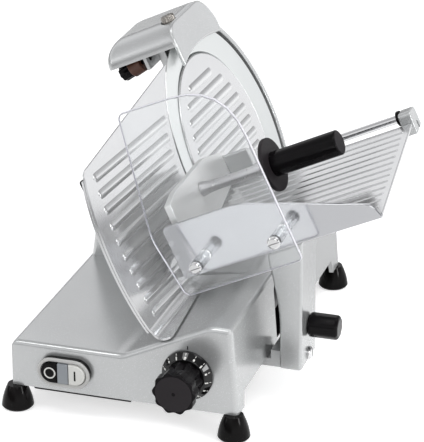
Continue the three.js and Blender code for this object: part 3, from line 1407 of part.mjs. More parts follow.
// Carriage slide: bar, block with its link under the side wall, arm, screw and clamp knob
piece("slide_bar", rod("y", BAR_FRONT, barRear, BAR_RADIUS, [barX, barZ]), "polished", upright);
const armLeft = BASE_WIDTH + ARM_GAP;
const armRight = armLeft + ARM_WIDTH;
const armRear = ARM_Y + ARM_LENGTH;
const armMid = ARM_Y + ARM_LENGTH / 2;
const armBottom = FOOT_HEIGHT + ARM_LIFT;
const carriageKnobZ = FOOT_HEIGHT + CARRIAGE_KNOB_RISE;
const carriageKnobPlace = [armMid, carriageKnobZ];
const linkTop = FOOT_HEIGHT + SKIRT_LIFT - SLIP;
const linkBottom = linkTop - LINK_THICKNESS;
const linkEnd = BASE_WIDTH + LINK_STAND_OFF;
const linkFront = armMid - LINK_WIDTH / 2;
const linkRear = armMid + LINK_WIDTH / 2;
const armScrewPlace = [armMid, linkTop + LINK_SCREW_RISE];
const blockHalf = BAR_RADIUS + BLOCK_WALL;
piece(
  "slide_block",
  cut(
    join(
      box(
        barX - blockHalf,
        barX + blockHalf,
        armMid - BLOCK_LENGTH / 2,
        armMid + BLOCK_LENGTH / 2,
        linkTop - EMBED,
        barZ + blockHalf,
      ),
      box(barX - blockHalf, armLeft - GAP, linkFront, linkRear, linkBottom, linkTop),
      box(linkEnd, armLeft - GAP, linkFront, linkRear, linkBottom, linkTop + LINK_UPSTAND),
    ),
    rod("y", 0, BASE_DEPTH, BAR_RADIUS + GAP, [barX, barZ]),
  ),
  "casting",
  upright,
);
const trayTop = (y) => TRAY_RISE + (y - TRAY_Y) * TRAY_PITCH;
const armTopU = TRAY_RISE - TRAY_THICKNESS - ARM_TOP_DROP;
function carriageArm() {
  const topAt = (x) => deckZ + (x - toeX) * Math.tan(TILT) + armTopU / cos;
  const flareX = armLeft - ARM_FLARE;
  const knee = FOOT_HEIGHT + ARM_KNEE;
  const profile = [
    [armLeft, armBottom],
    [armRight, armBottom],
    [armRight, topAt(armRight)],
    [flareX, topAt(flareX)],
    [flareX, knee + ARM_FLARE_RISE],
    [armLeft, knee],
  ];
  const leanN = (x) => (x - toeX + armTopU * sin) / cos;
  const wedge = [
    [ARM_Y, armTopU - EMBED],
    [armRear, armTopU - EMBED],
    [armRear, trayTop(armRear) - TRAY_THICKNESS - GAP],
    [ARM_Y, trayTop(ARM_Y) - TRAY_THICKNESS - GAP],
  ];
  return cut(
    join(
      bar(profile, "y", ARM_Y, armRear),
      bar(wedge, "x", leanN(flareX) + ARM_PAD_INSET, leanN(armRight) - ARM_PAD_INSET, leanMatrix),
    ),
    rod("x", armRight - ARM_BORE_DEPTH, armRight + EMBED, CARRIAGE_STUD_RADIUS + GAP, carriageKnobPlace),
    rod("x", armLeft - EMBED, armRight + EMBED, SCREW_RADIUS + GAP, armScrewPlace),
  );
}
piece("carriage_arm", carriageArm(), "casting", upright);
const armScrewRight = armRight + GAP + SCREW_HEAD_HEIGHT;
piece(
  "arm_screw",
  cut(
    join(
      rod("x", armRight + GAP, armScrewRight, SCREW_HEAD_RADIUS, armScrewPlace),
      rod("x", armLeft + EMBED, armRight + EMBED, SCREW_RADIUS, armScrewPlace),
    ),
    box(
      armScrewRight - SLOT_DEPTH,
      armScrewRight + EMBED,
      armMid - SLOT_WIDTH / 2,
      armMid + SLOT_WIDTH / 2,
      armScrewPlace[1] - SCREW_HEAD_RADIUS - EMBED,
      armScrewPlace[1] + SCREW_HEAD_RADIUS + EMBED,
    ),
  ),
  "polished",
  upright,
);
const carriageKnobMatrix = new THREE.Matrix4().makeTranslation(0, armMid, carriageKnobZ);
function carriageKnob() {
  const octagon = [];
  for (let i = 0; i < CARRIAGE_KNOB_SIDES; i++) {
    const angle = (2 * Math.PI * (i + 0.5)) / CARRIAGE_KNOB_SIDES;
    const corner = [CARRIAGE_KNOB_RADIUS * Math.cos(angle), CARRIAGE_KNOB_RADIUS * Math.sin(angle)];
    octagon.push([...corner, CARRIAGE_KNOB_EDGE]);
  }
  const left = armRight + GAP;
  const right = left + CARRIAGE_KNOB_LENGTH;
  const crown = turned(
    [
      [0, left - EMBED],
      [CARRIAGE_KNOB_RADIUS + EMBED, left - EMBED],
      [CARRIAGE_KNOB_RADIUS + EMBED, right - CARRIAGE_KNOB_CROWN],
      [CARRIAGE_KNOB_END_RADIUS, right],
      [0, right],
    ],
    "x",
    [0, armMid, carriageKnobZ],
  );
  const grip = bar(octagon, "x", left, right, carriageKnobMatrix, 3).intersect(crown);
  const studLeft = armRight - ARM_BORE_DEPTH + SLIP;
  return join(grip, rod("x", studLeft, left + EMBED, CARRIAGE_STUD_RADIUS, carriageKnobPlace));
}
piece("carriage_knob", carriageKnob(), "black", upright);

// Tray: a ribbed plate that climbs to the back, with the fence along its front
const trayBackY = TRAY_Y + TRAY_DEPTH;
function trayPlate() {
  const front = TRAY_Y + GAP;
  const profile = [
    [front, trayTop(front) - TRAY_THICKNESS],
    [trayBackY, trayTop(trayBackY) - TRAY_THICKNESS],
    [trayBackY, trayTop(trayBackY)],
    [front, trayTop(front)],
  ];
  const ribs = [];
  const pitch = (TRAY_DEPTH - TRAY_RIB_FRONT - TRAY_RIB_REAR) / TRAY_RIB_COUNT;
  for (let i = 0; i < TRAY_RIB_COUNT; i++) {
    const y0 = TRAY_Y + TRAY_RIB_FRONT + i * pitch;
    const y1 = y0 + TRAY_RIB_WIDTH;
    const rib = [
      [y0, trayTop(y0) - EMBED],
      [y1, trayTop(y1) - EMBED],
      [y1 - TRAY_RIB_SIDE, trayTop(y1) + TRAY_RIB_HEIGHT],
      [y0 + TRAY_RIB_SIDE, trayTop(y0) + TRAY_RIB_HEIGHT],
    ];
    ribs.push(bar(rib, "x", TRAY_LEFT + TRAY_RIB_LEFT, TRAY_RIGHT - TRAY_RIB_RIGHT));
  }
  return join(bar(profile, "x", TRAY_LEFT, TRAY_RIGHT), ...ribs);
}
piece("tray_plate", trayPlate(), "brushed", leaning);
const fenceFront = TRAY_Y - FENCE_THICKNESS;
const fenceFoot = TRAY_RISE - FENCE_FOOT_DROP;
const screwHole = (from, to, n) =>
  rod("y", from - EMBED, to + EMBED, SCREW_RADIUS + GAP, [n, GUARD_SCREW_RISE]);
piece(
  "tray_fence",
  cut(
    bar(
      [
        [FENCE_LEFT, fenceFoot],
        [TRAY_RIGHT, fenceFoot - FENCE_FOOT_FALL],
        [TRAY_RIGHT - FENCE_RIGHT_LEAN, fenceFoot + FENCE_RIGHT_RISE, FENCE_RIGHT_ROUND],
        [FENCE_LEFT + FENCE_SHOULDER, FENCE_TOP, FENCE_SHOULDER_ROUND],
        [FENCE_LEFT, FENCE_TOP, FENCE_LEFT_ROUND],
      ],
      "y",
      fenceFront,
      TRAY_Y,
    ),
    ...GUARD_SCREWS.map((n) => screwHole(fenceFront, TRAY_Y, n)),
  ),
  "brushed",
  leaning,
);

// Clear hand guard on two spacers with slotted screws
const guardRear = fenceFront - GUARD_STAND_OFF;
const guardFront = guardRear - GUARD_THICKNESS;
piece(
  "hand_guard",
  cut(
    bar(
      [
        [GUARD_LEFT + GUARD_FOOT_LEFT, GUARD_BOTTOM, GUARD_END_ROUND],
        [GUARD_RIGHT, GUARD_BOTTOM, GUARD_RIGHT_ROUND],
        [GUARD_RIGHT, GUARD_TOP - GUARD_TOP_FALL, GUARD_CORNER],
        [GUARD_LEFT + GUARD_TOP_LEFT, GUARD_TOP, GUARD_END_ROUND],
        [GUARD_LEFT, GUARD_BOTTOM + GUARD_LEFT_RISE, GUARD_LEFT_ROUND],
      ],
      "y",
      guardFront,
      guardRear,
      FLAT,
      STEPS_GUARD,
    ),
    ...GUARD_SCREWS.map((n) => screwHole(guardFront, guardRear, n)),
  ),
  "clear",
  leaning,
);
GUARD_SCREWS.forEach((n, i) => {
  const place = [n, GUARD_SCREW_RISE];
  const side = ["left", "right"][i];
  piece(
    `guard_spacer_${side}`,
    tube("y", guardRear + GAP, fenceFront - GAP, SCREW_RADIUS + GAP, SPACER_RADIUS, place),
    "clear",
    leaning,
  );
  const headBack = guardFront - GAP;
  const headFront = headBack - SCREW_HEAD_HEIGHT;
  piece(
    `guard_screw_${side}`,
    cut(
      join(
        rod("y", headFront, headBack, SCREW_HEAD_RADIUS, place),
        rod("y", headBack - EMBED, TRAY_Y - GAP, SCREW_RADIUS, place),
      ),
      box(
        n - SCREW_HEAD_RADIUS - EMBED,
        n + SCREW_HEAD_RADIUS + EMBED,
        headFront - EMBED,
        headFront + SLOT_DEPTH,
        GUARD_SCREW_RISE - SLOT_WIDTH / 2,
        GUARD_SCREW_RISE + SLOT_WIDTH / 2,
      ),
    ),
    "polished",
    leaning,
  );
});

// Guide rod between two brackets behind the tray, with a rubber stop
const rodY = trayBackY + ROD_BEHIND;
const rodRise = trayTop(trayBackY) + ROD_ABOVE;
const rodAxis = [rodY, rodRise];
const rodBore = ROD_RADIUS + GAP;
const bracketFrontY = trayBackY + GAP;
const bracketRearY = rodY + ROD_RADIUS + ROD_BRACKET_BACK;
const rodLeft = TRAY_LEFT + ROD_BRACKET_LENGTH - ROD_SEAT;
const rightBracketRight = TRAY_RIGHT + ROD_BRACKET_OVERHANG;
const rightBracketLeft = rightBracketRight - ROD_BRACKET_LENGTH;
const rodRight = rightBracketLeft + ROD_SEAT;
function rodBracket(left, seatFrom, seatTo) {
  const under = trayTop(trayBackY) - TRAY_THICKNESS;
  const top = rodRise + ROD_RADIUS + ROD_BRACKET_TOP;
  const section = [
    [bracketFrontY, under - ROD_BRACKET_FOOT],
    [bracketRearY, under - ROD_BRACKET_HEEL],
    [bracketRearY, top, ROD_BRACKET_ROUND],
    [bracketFrontY, top, ROD_BRACKET_ROUND],
  ];
  return cut(
    bar(section, "x", left, left + ROD_BRACKET_LENGTH),
    rod("x", seatFrom, seatTo, rodBore, rodAxis),
  );
}
piece(
  "rod_bracket_left",
  rodBracket(TRAY_LEFT, rodLeft - GAP, TRAY_LEFT + ROD_BRACKET_LENGTH + EMBED),
  "casting",
  leaning,
);
const keyholeMiddle = rodRise - KEYHOLE_DROP;
const keyholeHalf = (KEYHOLE_LENGTH - KEYHOLE_WIDTH) / 2;
const keyhole = bar(
  capsule([rodY, keyholeMiddle - keyholeHalf], [rodY, keyholeMiddle + keyholeHalf], KEYHOLE_WIDTH),
  "x",
  rightBracketRight - KEYHOLE_DEPTH,
  rightBracketRight + EMBED,
);
piece(
  "rod_bracket_right",
  cut(rodBracket(rightBracketLeft, rightBracketLeft - EMBED, rodRight + GAP), keyhole),
  "casting",
  leaning,
);
piece("guide_rod", rod("x", rodLeft, rodRight, ROD_RADIUS, rodAxis), "polished", leaning);
const stopRight = rightBracketLeft - GAP;
piece(
  "rod_stop",
  tube("x", stopRight - STOP_THICKNESS, stopRight, rodBore, rodBore + STOP_WALL, rodAxis),
  "rubber",
  leaning,
);

// Food pusher: bush on the rod, hinge block, plate, shaft, and handle with its collar
const bushOuter = rodBore + BUSH_WALL;
const bushRight = PUSHER_LEFT + BUSH_LENGTH;
piece("pusher_bush", tube("x", PUSHER_LEFT, bushRight, rodBore, bushOuter, rodAxis), "nylon", leaning);
const blockFrontY = bracketFrontY - BLOCK_FRONT;
const blockBackY = rodY + bushOuter + BLOCK_BACK;
const blockLeft = PUSHER_LEFT + BLOCK_END;
const pusherRight = blockLeft + PUSHER_THICKNESS;
piece(
  "pusher_block",
  cut(
    bar(
      [
        [blockFrontY, rodRise - BLOCK_CHIN],
        [rodY, rodRise - bushOuter - BLOCK_FOOT, BLOCK_ROUND],
        [blockBackY, rodRise - bushOuter - BLOCK_HEEL, BLOCK_ROUND],
        [blockBackY, rodRise + bushOuter + BLOCK_SHOULDER, BLOCK_ROUND],
        [blockFrontY, rodRise + bushOuter + BLOCK_TOP, BLOCK_TOP_ROUND],
      ],
      "x",
      blockLeft,
      bushRight - BLOCK_END,
    ),
    rod("x", PUSHER_LEFT, bushRight, bushOuter + GAP, rodAxis),
  ),
  "casting",
  leaning,
);
const pusherFoot = (y) => trayTop(y) + TRAY_RIB_HEIGHT + PUSHER_LIFT;
const pusherBackY = blockFrontY - GAP;
piece(
  "pusher_plate",
  bar(
    [
      [PUSHER_FRONT, pusherFoot(PUSHER_FRONT), PUSHER_FOOT_ROUND],
      [pusherBackY, pusherFoot(pusherBackY)],
      [pusherBackY, PUSHER_TOP - PUSHER_BACK_DROP],
      [PUSHER_SHAFT_Y + PUSHER_TOP_BACK, PUSHER_TOP, PUSHER_ROUND],
      [PUSHER_FRONT + PUSHER_TOP_FRONT, PUSHER_TOP - PUSHER_TOP_FALL, PUSHER_ROUND],
      [PUSHER_FRONT, PUSHER_TOP - PUSHER_FRONT_DROP, PUSHER_FRONT_ROUND],
    ],
    "x",
    blockLeft,
    pusherRight,
  ),
  "brushed",
  leaning,
);
const shaftAxis = [PUSHER_SHAFT_Y, PUSHER_SHAFT_RISE];
const shaftCentre = CENTRE.x(...shaftAxis);
piece(
  "pusher_shaft",
  turned(
    [
      [0, pusherRight + GAP],
      [SHAFT_FOOT_RADIUS, pusherRight + GAP],
      [PUSHER_SHAFT_RADIUS, pusherRight + SHAFT_FOOT_LENGTH],
      [PUSHER_SHAFT_RADIUS, COLLAR_LEFT - SHAFT_HEAD_LENGTH],
      [SHAFT_HEAD_RADIUS, COLLAR_LEFT - GAP],
      [0, COLLAR_LEFT - GAP],
    ],
    "x",
    shaftCentre,
  ),
  "brushed",
  leaning,
);
const collarRight = COLLAR_LEFT + COLLAR_THICKNESS;
const handleRight = COLLAR_LEFT + HANDLE_LENGTH;
piece(
  "pusher_handle",
  turned(
    [
      [0, COLLAR_LEFT],
      [COLLAR_RADIUS - COLLAR_EDGE, COLLAR_LEFT],
      [COLLAR_RADIUS, COLLAR_LEFT + COLLAR_EDGE],
      [COLLAR_RADIUS, collarRight - COLLAR_EDGE],
      [COLLAR_RADIUS - COLLAR_EDGE, collarRight],
      [HANDLE_RADIUS, collarRight],
      [HANDLE_RADIUS, handleRight - HANDLE_EDGE],
      [HANDLE_RADIUS - HANDLE_EDGE, handleRight],
      [0, handleRight],
    ],
    "x",
    shaftCentre,
  ),
  "black",
  leaning,
);

// Mains inlet gland in the rear wall of the base
piece(
  "cable_gland",
  turned(
    [
      [GLAND_BORE, BASE_DEPTH + GAP],
      [GLAND_RADIUS, BASE_DEPTH + GAP],
      [GLAND_RADIUS, BASE_DEPTH + GLAND_FLANGE],
      [GLAND_TIP_RADIUS, BASE_DEPTH + GLAND_LENGTH],
      [GLAND_BORE, BASE_DEPTH + GLAND_LENGTH],
      [GLAND_BORE, BASE_DEPTH + GAP],
    ],
    "y",
    [GLAND_X, 0, FOOT_HEIGHT + GLAND_RISE],
  ),
  "black",
  upright,
);

// The part stands on its feet with its origin under the middle of its bounding box.
root.updateMatrixWorld(true);
const bounds = new THREE.Box3().setFromObject(root, true);
const middle = bounds.getCenter(new THREE.Vector3());
root.position.set(-middle.x, -middle.y, -bounds.min.z);

const part = new THREE.Group();
part.add(root);
part.updateMatrixWorld(true);

export default part;
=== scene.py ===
"""Looks of a gravity food slicer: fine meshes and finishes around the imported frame.

The camera, floor, studio and lamps are made here too. Sizes are in millimetres unless a comment says metres.
"""

import json
from math import acos, asin, atan, cos, pi, radians, sin, sqrt, tan

import bmesh
import bpy
from mathutils import Matrix, Vector


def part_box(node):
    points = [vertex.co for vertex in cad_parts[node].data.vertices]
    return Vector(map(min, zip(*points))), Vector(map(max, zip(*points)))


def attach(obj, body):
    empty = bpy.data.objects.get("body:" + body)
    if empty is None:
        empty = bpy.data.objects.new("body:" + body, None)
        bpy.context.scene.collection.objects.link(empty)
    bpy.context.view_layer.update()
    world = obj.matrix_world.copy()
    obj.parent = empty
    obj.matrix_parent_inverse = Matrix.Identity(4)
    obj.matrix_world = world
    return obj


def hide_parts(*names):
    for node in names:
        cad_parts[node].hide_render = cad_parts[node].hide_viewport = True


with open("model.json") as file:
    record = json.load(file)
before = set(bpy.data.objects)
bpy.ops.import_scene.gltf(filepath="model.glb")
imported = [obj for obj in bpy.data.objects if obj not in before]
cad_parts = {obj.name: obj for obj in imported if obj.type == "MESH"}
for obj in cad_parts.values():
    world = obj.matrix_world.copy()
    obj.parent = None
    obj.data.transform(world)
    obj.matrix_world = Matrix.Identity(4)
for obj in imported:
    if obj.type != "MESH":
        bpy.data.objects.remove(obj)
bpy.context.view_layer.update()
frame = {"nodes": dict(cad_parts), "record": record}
nodes = frame["nodes"]
record = frame["record"]
body_of = {n: b for b, group in record["behaviour"]["bodies"].items() for n in group}
slot_of = {s["node"]: s["material_slot"] for s in record["subparts"]}
scene = bpy.context.scene

# Base: a deck on the left, a slope that leans by the tilt, and a ridge on the right over a lifted skirt
MM = 0.001
TILT = radians(25)
WALL = 4
BASE_WIDTH = 223
BASE_DEPTH = 358
BASE_EDGE = 5
SECTION_SPARE = 3
DECK_Z = 70
RIDGE_Z = 110
RIDGE_WIDTH = 21
SIDE_DRAFT = 6
TOE_X = BASE_WIDTH - SIDE_DRAFT - RIDGE_WIDTH - (RIDGE_Z - DECK_Z) / tan(TILT)
LEFT_DRAFT = 0.5
LEFT_SHARPNESS = 1.15
LEFT_FADE = 40
SKIRT_Z = 39
SKIRT_FRONT = (20, 24)
SKIRT_REAR = (328, 332)
ARCH_Z = 98
ARCH_YS = (131, 240)
ARCH_RADIUS = 4
ARCH_LEAN = 0.5
GLAND = (40, 44)

# Feet: bowed cones with a lip above the sole
FOOT_INSET = 3
FOOT_HEIGHT = 24
FOOT_TOP = 23.7
FOOT_LIP = 2.4
FOOT_RADIUS = 15.4
FOOT_TAPER = 0.11
FOOT_BOW = 0.0088
FOOT_STEPS = 10

# Tower behind the blade, with the motor's cowl, the tie rod's boss and the sharpener's seat
TOWER_YS = (205, 402)
TOWER_SUNK = 8
TOWER_RISE = 45
WEB_FACE = 15.7
MOTOR_AXIS = (283, 46)
COWL = (-94.5, 11.7, 50)
TIE_BOSS = (-86, -66, 12)
SEAT = (324, 100, 356, 130)
SEAT_DEPTH = 13

# CAD pieces that are kept with rounded edges
BASE_SOFT_EDGES = {"bottom_cover": 0.4, "rear_cover": 0.9, "sharpener_post": 1.0}
GAUGE_SOFT_EDGES = {"gauge_bracket": 0.8, "gauge_bumper": 1.0}

# Front panel: switch, dial and knob; a tick gives its reach, its length and its width
SWITCH = (54, 46)
SWITCH_SIZE = (52.5, 29)
POCKET_MARGIN = 7.6
BUTTON_MARGIN = 8.6
BUTTON_INNER = 5.8
BUTTON_YS = (-9, -1)
LENS_MARGIN = 8.8
LENS_WIDTH = 10.6
LENS_YS = (-8.6, -1)
MARK_OFFSET = 12.5
MARK_BAR = (1.6, 10, 0.4)
MARK_YS = (-9.25, -8.8)
DIAL = (175, 60)
DIAL_RADIUS = 24.5
DIAL_BORE = 4.3
DIAL_BACK = -0.8
DIAL_RIM = -3.4
DIAL_FACE = (19.4, -9.3)
DIAL_MARKS = 15
TICK_OUTER = (23.2, 1.9, 0.6)
TICK_INNER = ((20.6, 3.4, 1.3), (20.9, 2.4, 1.7))
TICKS_FIRST = [(23.0, 2.6, 0.8), (20.4, 3.2, 2.0)]
TICK_ROUND = 0.45
TICK_YS = (-0.18, 0.2)
POINTER_WIDTH = 1
POINTER_SPAN = (0.8, 4.5)
POINTER_YS = (-0.25, 0.4)
DIAL_LOBES = 10
SMALL_LOBES = 8

# Blade, its cover and the ring guard, in the leaning frame
BLADE_RADIUS = 125
BLADE_AXIS = (340, 79)
BLADE_PLANE = 35
COVER_RADIUS = 95.5
COVER_FACE = 33
COVER_PLATE = 3.2
COVER_BOSS = (25.5, 9.2)
COVER_RIB = (9, 1.8)
COVER_RIB_PITCH = 14
COVER_RIB_REACH = 78
COVER_RIB_FALL = 0.02
TIE_ROD = (-87, 29.5, 3.2)
RING_INNER = 129.5
RING_OUTER = 135.5
RING_SPAN = (16, 37)
RING_ENDS = (5, 8)
RING_OVERLAP = 1
RING_WEB = (36, 18)

# Gauge plate: its outlines are in depth and developed height
PLATE_FACE = 34.2
PLATE_THICKNESS = 2
PLATE_TOP = 189
PLATE_FRONT_TOP = 171
PLATE_FOOT = 8
PLATE_REACH = BLADE_RADIUS + 0.8
PLATE_BEND = 14.5
PLATE_CURL = 11
CURL_STEPS = 11
PLATE_FRONT = ((20, 163), (-7, 115), (-7, 55), (9, 9.5))
RIM_YS = (0.4, 2.5)
RIM_SPAN = (29, 31.6)
RIB_SIZE = (9, 1.6)
RIB_COUNT = 10
RIB_FIRST = 158
RIB_PITCH = 15.3
RIB_FALL = 0.055
RIB_FRONT = 26
RIB_BOW = 14
RIB_MIDDLE = 70
RIB_HALF = 88
RIB_GAP = 18
GAUGE_SLOT = (4.5, 55.5, 32.5, 88.5)
GAUGE_SLOT_DEPTH = (-12, 8)

# Sharpener
HOOD = (-39.8, 42.2, 302, 410)
HOOD_U = (197.5, 221)
HOOD_STEPS = 16
LEG_YS = (303, 421)
LEG_BACK = 38.2
LEG_PROUD = 0.4
LEG_DROP = 22
CARRIER_SPAN = (-3.0, 0.9)
CLAMP = (33.2, 330, 7.2)
CLAMP_GAP = 1.8
CLAMP_HOLE = (-8, 6)
CLAMP_LOBES = 12
CLAMP_SLOT = (18, 1.8)
CLAMP_SLOT_RISE = (3.2, 7)
STONE_NAMES = ("grinding", "honing")
STONE_SPAN = (-7, 7)
STONE_RADII = (3.3, 10)
STONE_TILT = radians(12)
SPINDLE_RADIUS = 3
SPINDLE_GAP = 0.8
SPINDLE_BORE = (6, 30)
SPINDLE_SPAN = (-8, 16)

# Screws: head, slot and threaded shank
HEAD_RADIUS = 6.3
HEAD_DEPTH = 3.5
HEAD_SLOT = 1.7
HEAD_SLOT_DEPTH = 1.5
SHANK_RADIUS = 2.5
THREAD_PITCH = 1.6
THREAD_DEPTH = 0.5

# Carriage: arm and its grip in the upright frame, the rest in the leaning frame
ARM = (237, 259, 86, 136)
ARM_BOTTOM = 33
ARM_MID = 111
ARM_RISE = 25
ARM_FLARE = 11
PAD_GAP = 3.3
ARM_SCREW_Z = 41.8
ARM_SCREW_PROUD = 3.8
GRIP_Z = 72
GRIP_RADIUS = 12.5
GRIP_SIDES = 8
GRIP_SPAN = (0.3, 30.3)
GRIP_STUD = (-10.8, 1.3, 4.5)
TRAY = (42, 263, 80, 240)
TRAY_GAP = 0.3
TRAY_RISE = 31
TRAY_PITCH = 0.18
TRAY_THICKNESS = 3
TRAY_RIB_COUNT = 13
TRAY_RIB_FIRST = 13.5
TRAY_RIB_MARGIN = 16
TRAY_RIB_ENDS = (8, 6)
TRAY_RIB_RADIUS = 1.4
TRAY_RIB_SUNK = 0.6
FENCE_YS = (76, 80)
GUARD_YS = (45, 49)
# Limits of a guard face's normal across its thickness, below which it takes the painted edge highlight, then
# the painted rim shade
GUARD_TURNS = (0.8, 0.95)
GUARD_SCREWS = {"left": 85.5, "right": 168.6}
GUARD_SCREW_U = 45.5
GUARD_SCREW_YS = (41.2, 79.7)
SPACER_YS = (49.3, 75.7)
SPACER_RADII = (2.8, 6)
ROD_AXIS = (251, 65)
ROD_RADIUS = 4.2
ROD_SPAN = (46, 261)
ROD_STOP_SPAN = (248.2, 251.7)
ROD_STOP_RADII = (4.5, 7.7)
BRACKET_WIDTH = 13
BRACKET_PROUD = 2
BRACKET_WALL = 5
BRACKET_TOP = 71.2
KEYHOLE = (11, 5)
KEYHOLE_U = 53
KEYHOLE_SPAN = (-1.8, 1)
PUSHER_AXIS = (165, 84)
PUSHER_YS = (88, 238)
PUSHER_GAP = 3.7
PUSHER_SPAN = (61, 68)
HINGE_SPAN = (61, 95)
BUSH_SPAN = (60, 96)
BUSH_RADII = (4.5, 6.7)

# The camera's place in the base's own frame, its heading, its downward pitch and its roll
CAMERA_AT = (799.08, -1832.22, 1047.64)
CAMERA_HEADING = radians(18.12)
CAMERA_PITCH = radians(23.32)
CAMERA_ROLL = radians(-0.5)
FOCAL_PIXELS = 2359.4
IMAGE_HEIGHT = 442
SENSOR = 36

# A fine edge, and the angle in degrees above which an edge stays sharp
FINE_EDGE = 0.1
CREASE = 35

foot_low, foot_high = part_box("foot_front_left")
foot_middle = (foot_low + foot_high) / 2
origin = Vector((foot_middle.x - FOOT_INSET * MM, foot_middle.y - FOOT_INSET * MM, 0))
UPRIGHT = Matrix.Translation(origin) @ Matrix.Scale(MM, 4)
LEANING = UPRIGHT @ Matrix.Translation((TOE_X, 0, DECK_Z)) @ Matrix.Rotation(-TILT, 4, "Y")


def make_camera():
    data = bpy.data.cameras.new("camera")
    data.sensor_width = SENSOR
    data.lens = FOCAL_PIXELS * SENSOR / IMAGE_HEIGHT
    data.clip_end = 50
    camera = bpy.data.objects.new("camera", data)
    heading = Matrix.Rotation(CAMERA_HEADING, 4, "Z")
    pitch = Matrix.Rotation(pi / 2 - CAMERA_PITCH, 4, "X")
    roll = Matrix.Rotation(CAMERA_ROLL, 4, "Z")
    camera.matrix_world = Matrix.Translation(UPRIGHT @ Vector(CAMERA_AT)) @ heading @ pitch @ roll
    scene.collection.objects.link(camera)
    scene.camera = camera


make_camera()


# Outlines: lists of points, each with two coordinates and, where a corner is rounded, a radius


def around(centre, radius, angle):
    return centre[0] + radius * cos(angle), centre[1] + radius * sin(angle)


def moved(points, centre):
    return [(centre[0] + a, centre[1] + b) for a, b in points]


def rectangle(a0, b0, a1, b1, radius=0):
    return [(a0, b0, radius), (a1, b0, radius), (a1, b1, radius), (a0, b1, radius)]


def centred(centre, width, height, radius=0):
    a, b = centre
    return rectangle(a - width / 2, b - height / 2, a + width / 2, b + height / 2, radius)


def curve_points(*control, steps=8):
    """Points along a Bezier curve of the third or second order."""
    control = [Vector(c) for c in control]
    made = []
    for k in range(steps + 1):
        row = control
        while len(row) > 1:
            row = [p.lerp(q, k / steps) for p, q in zip(row, row[1:])]
        made.append(tuple(row[0]))
    return made


def arc_points(centre, radius, start, stop, steps=16):
    return [around(centre, radius, start + (stop - start) * k / steps) for k in range(steps + 1)]


def oval(length, height, steps=16):
    half = (length - height) / 2
    right = arc_points((half, 0), height / 2, -pi / 2, pi / 2, steps)
    left = arc_points((-half, 0), height / 2, pi / 2, 1.5 * pi, steps)
    return right + left


def quarter_round(edge, steps):
    """Steps over a rounded edge: the way along the axis, and how far the outline is drawn in."""
    turns = [k / steps * pi / 2 for k in range(steps + 1)]
    return [(edge * (1 - cos(t)), edge * (1 - sin(t))) for t in turns]


def shrunk(points, distance, sharpest=0.2, kept=0.15):
    """The outline drawn in by a distance, with its corner radii drawn in too. Points run anticlockwise."""
    made = []
    for i, point in enumerate(points):
        here = Vector(point[:2])
        into = (here - Vector(points[i - 1][:2])).normalized()
        away = (Vector(points[(i + 1) % len(points)][:2]) - here).normalized()
        turn = max(1 + into.dot(away), sharpest)
        shift = Vector((-into.y - away.y, into.x + away.x)) * (distance / turn)
        radius = point[2] if len(point) > 2 else 0
        made.append((here.x + shift.x, here.y + shift.y, max(radius - distance, radius * kept)))
    return made


def softened(points, steps=6, closed=True, most=0.49):
    """A path whose corners are rounded by each point's third number."""
    path = []
    count = len(points)
    for i, point in enumerate(points):
        here = Vector(point[:2])
        radius = point[2] if len(point) > 2 else 0
        if radius <= 0 or (not closed and i in (0, count - 1)):
            path.append(here)
            continue
        back = Vector(points[i - 1][:2]) - here
        ahead = Vector(points[(i + 1) % count][:2]) - here
        start = here + back * min(radius / back.length, most)
        end = here + ahead * min(radius / ahead.length, most)
        for k in range(steps + 1):
            t = k / steps
            path.append(start * (1 - t) ** 2 + here * 2 * t * (1 - t) + end * t * t)
    return path


def anticlockwise(points):
    area = sum(p[0] * q[1] - q[0] * p[1] for p, q in zip(points, points[1:] + points[:1]))
    return points if area > 0 else points[::-1]


# Shapes: every function returns vertices and faces in the frame that the piece is built in


def along(axis, a, b, c):
    """A point from its two outline coordinates and its place along the axis."""
    return {"x": (c, a, b), "y": (a, c, b), "z": (a, b, c)}[axis]


def loft(loops, ring=False, skip=(), caps=(True, True)):
    """A skin over loops of equal length: a ring, or with caps at its two ends, and with columns left out."""
    size = len(loops[0])
    verts = [p for loop in loops for p in loop]
    faces = []
    pairs = [(i, i + 1) for i in range(len(loops) - 1)]
    if ring:
        pairs.append((len(loops) - 1, 0))
    for a, b in pairs:
        for j in range(size):
            if j not in skip:
                k = (j + 1) % size
                faces.append((a * size + j, a * size + k, b * size + k, b * size + j))
    if caps[0] and not ring:
        faces.append(tuple(range(size)))
    if caps[1] and not ring:
        faces.append(tuple(range(len(verts) - size, len(verts))))
    return verts, faces


def prism(points, axis, low, high, edge=1.0, steps=4):
    """A bar of an outline along an axis, with its two end edges rounded."""
    points = anticlockwise(list(points))
    rings = quarter_round(edge, steps)
    stations = [(low + p, d) for p, d in rings] + [(high - p, d) for p, d in reversed(rings)]
    loops = []
    for place, inset in stations:
        path = softened(shrunk(points, inset) if inset else points)
        loops.append([along(axis, p.x, p.y, place) for p in path])
    return loft(loops)


def cutter(points, axis, low, high):
    """A bar with nearly sharp edges."""
    return prism(points, axis, low, high, edge=0.02, steps=1)


def turned(profile, axis, centre, segments=72, on_axis=1e-4):
    """A solid turned about an axis: the profile lists radius, place along the axis and a corner radius."""
    path = softened(profile, steps=5, closed=False)
    verts, rings = [], []
    for p in path:
        if p.x < on_axis:
            rings.append([len(verts)])
            verts.append(along(axis, *centre, p.y))
            continue
        rings.append(list(range(len(verts), len(verts) + segments)))
        for i in range(segments):
            verts.append(along(axis, *around(centre, p.x, 2 * pi * i / segments), p.y))
    faces = []
    for one, two in zip(rings, rings[1:]):
        for i in range(segments):
            k = (i + 1) % segments
            corner = [one[i % len(one)], one[k % len(one)], two[k % len(two)], two[i % len(two)]]
            faces.append(tuple(dict.fromkeys(corner)))
    return verts, faces


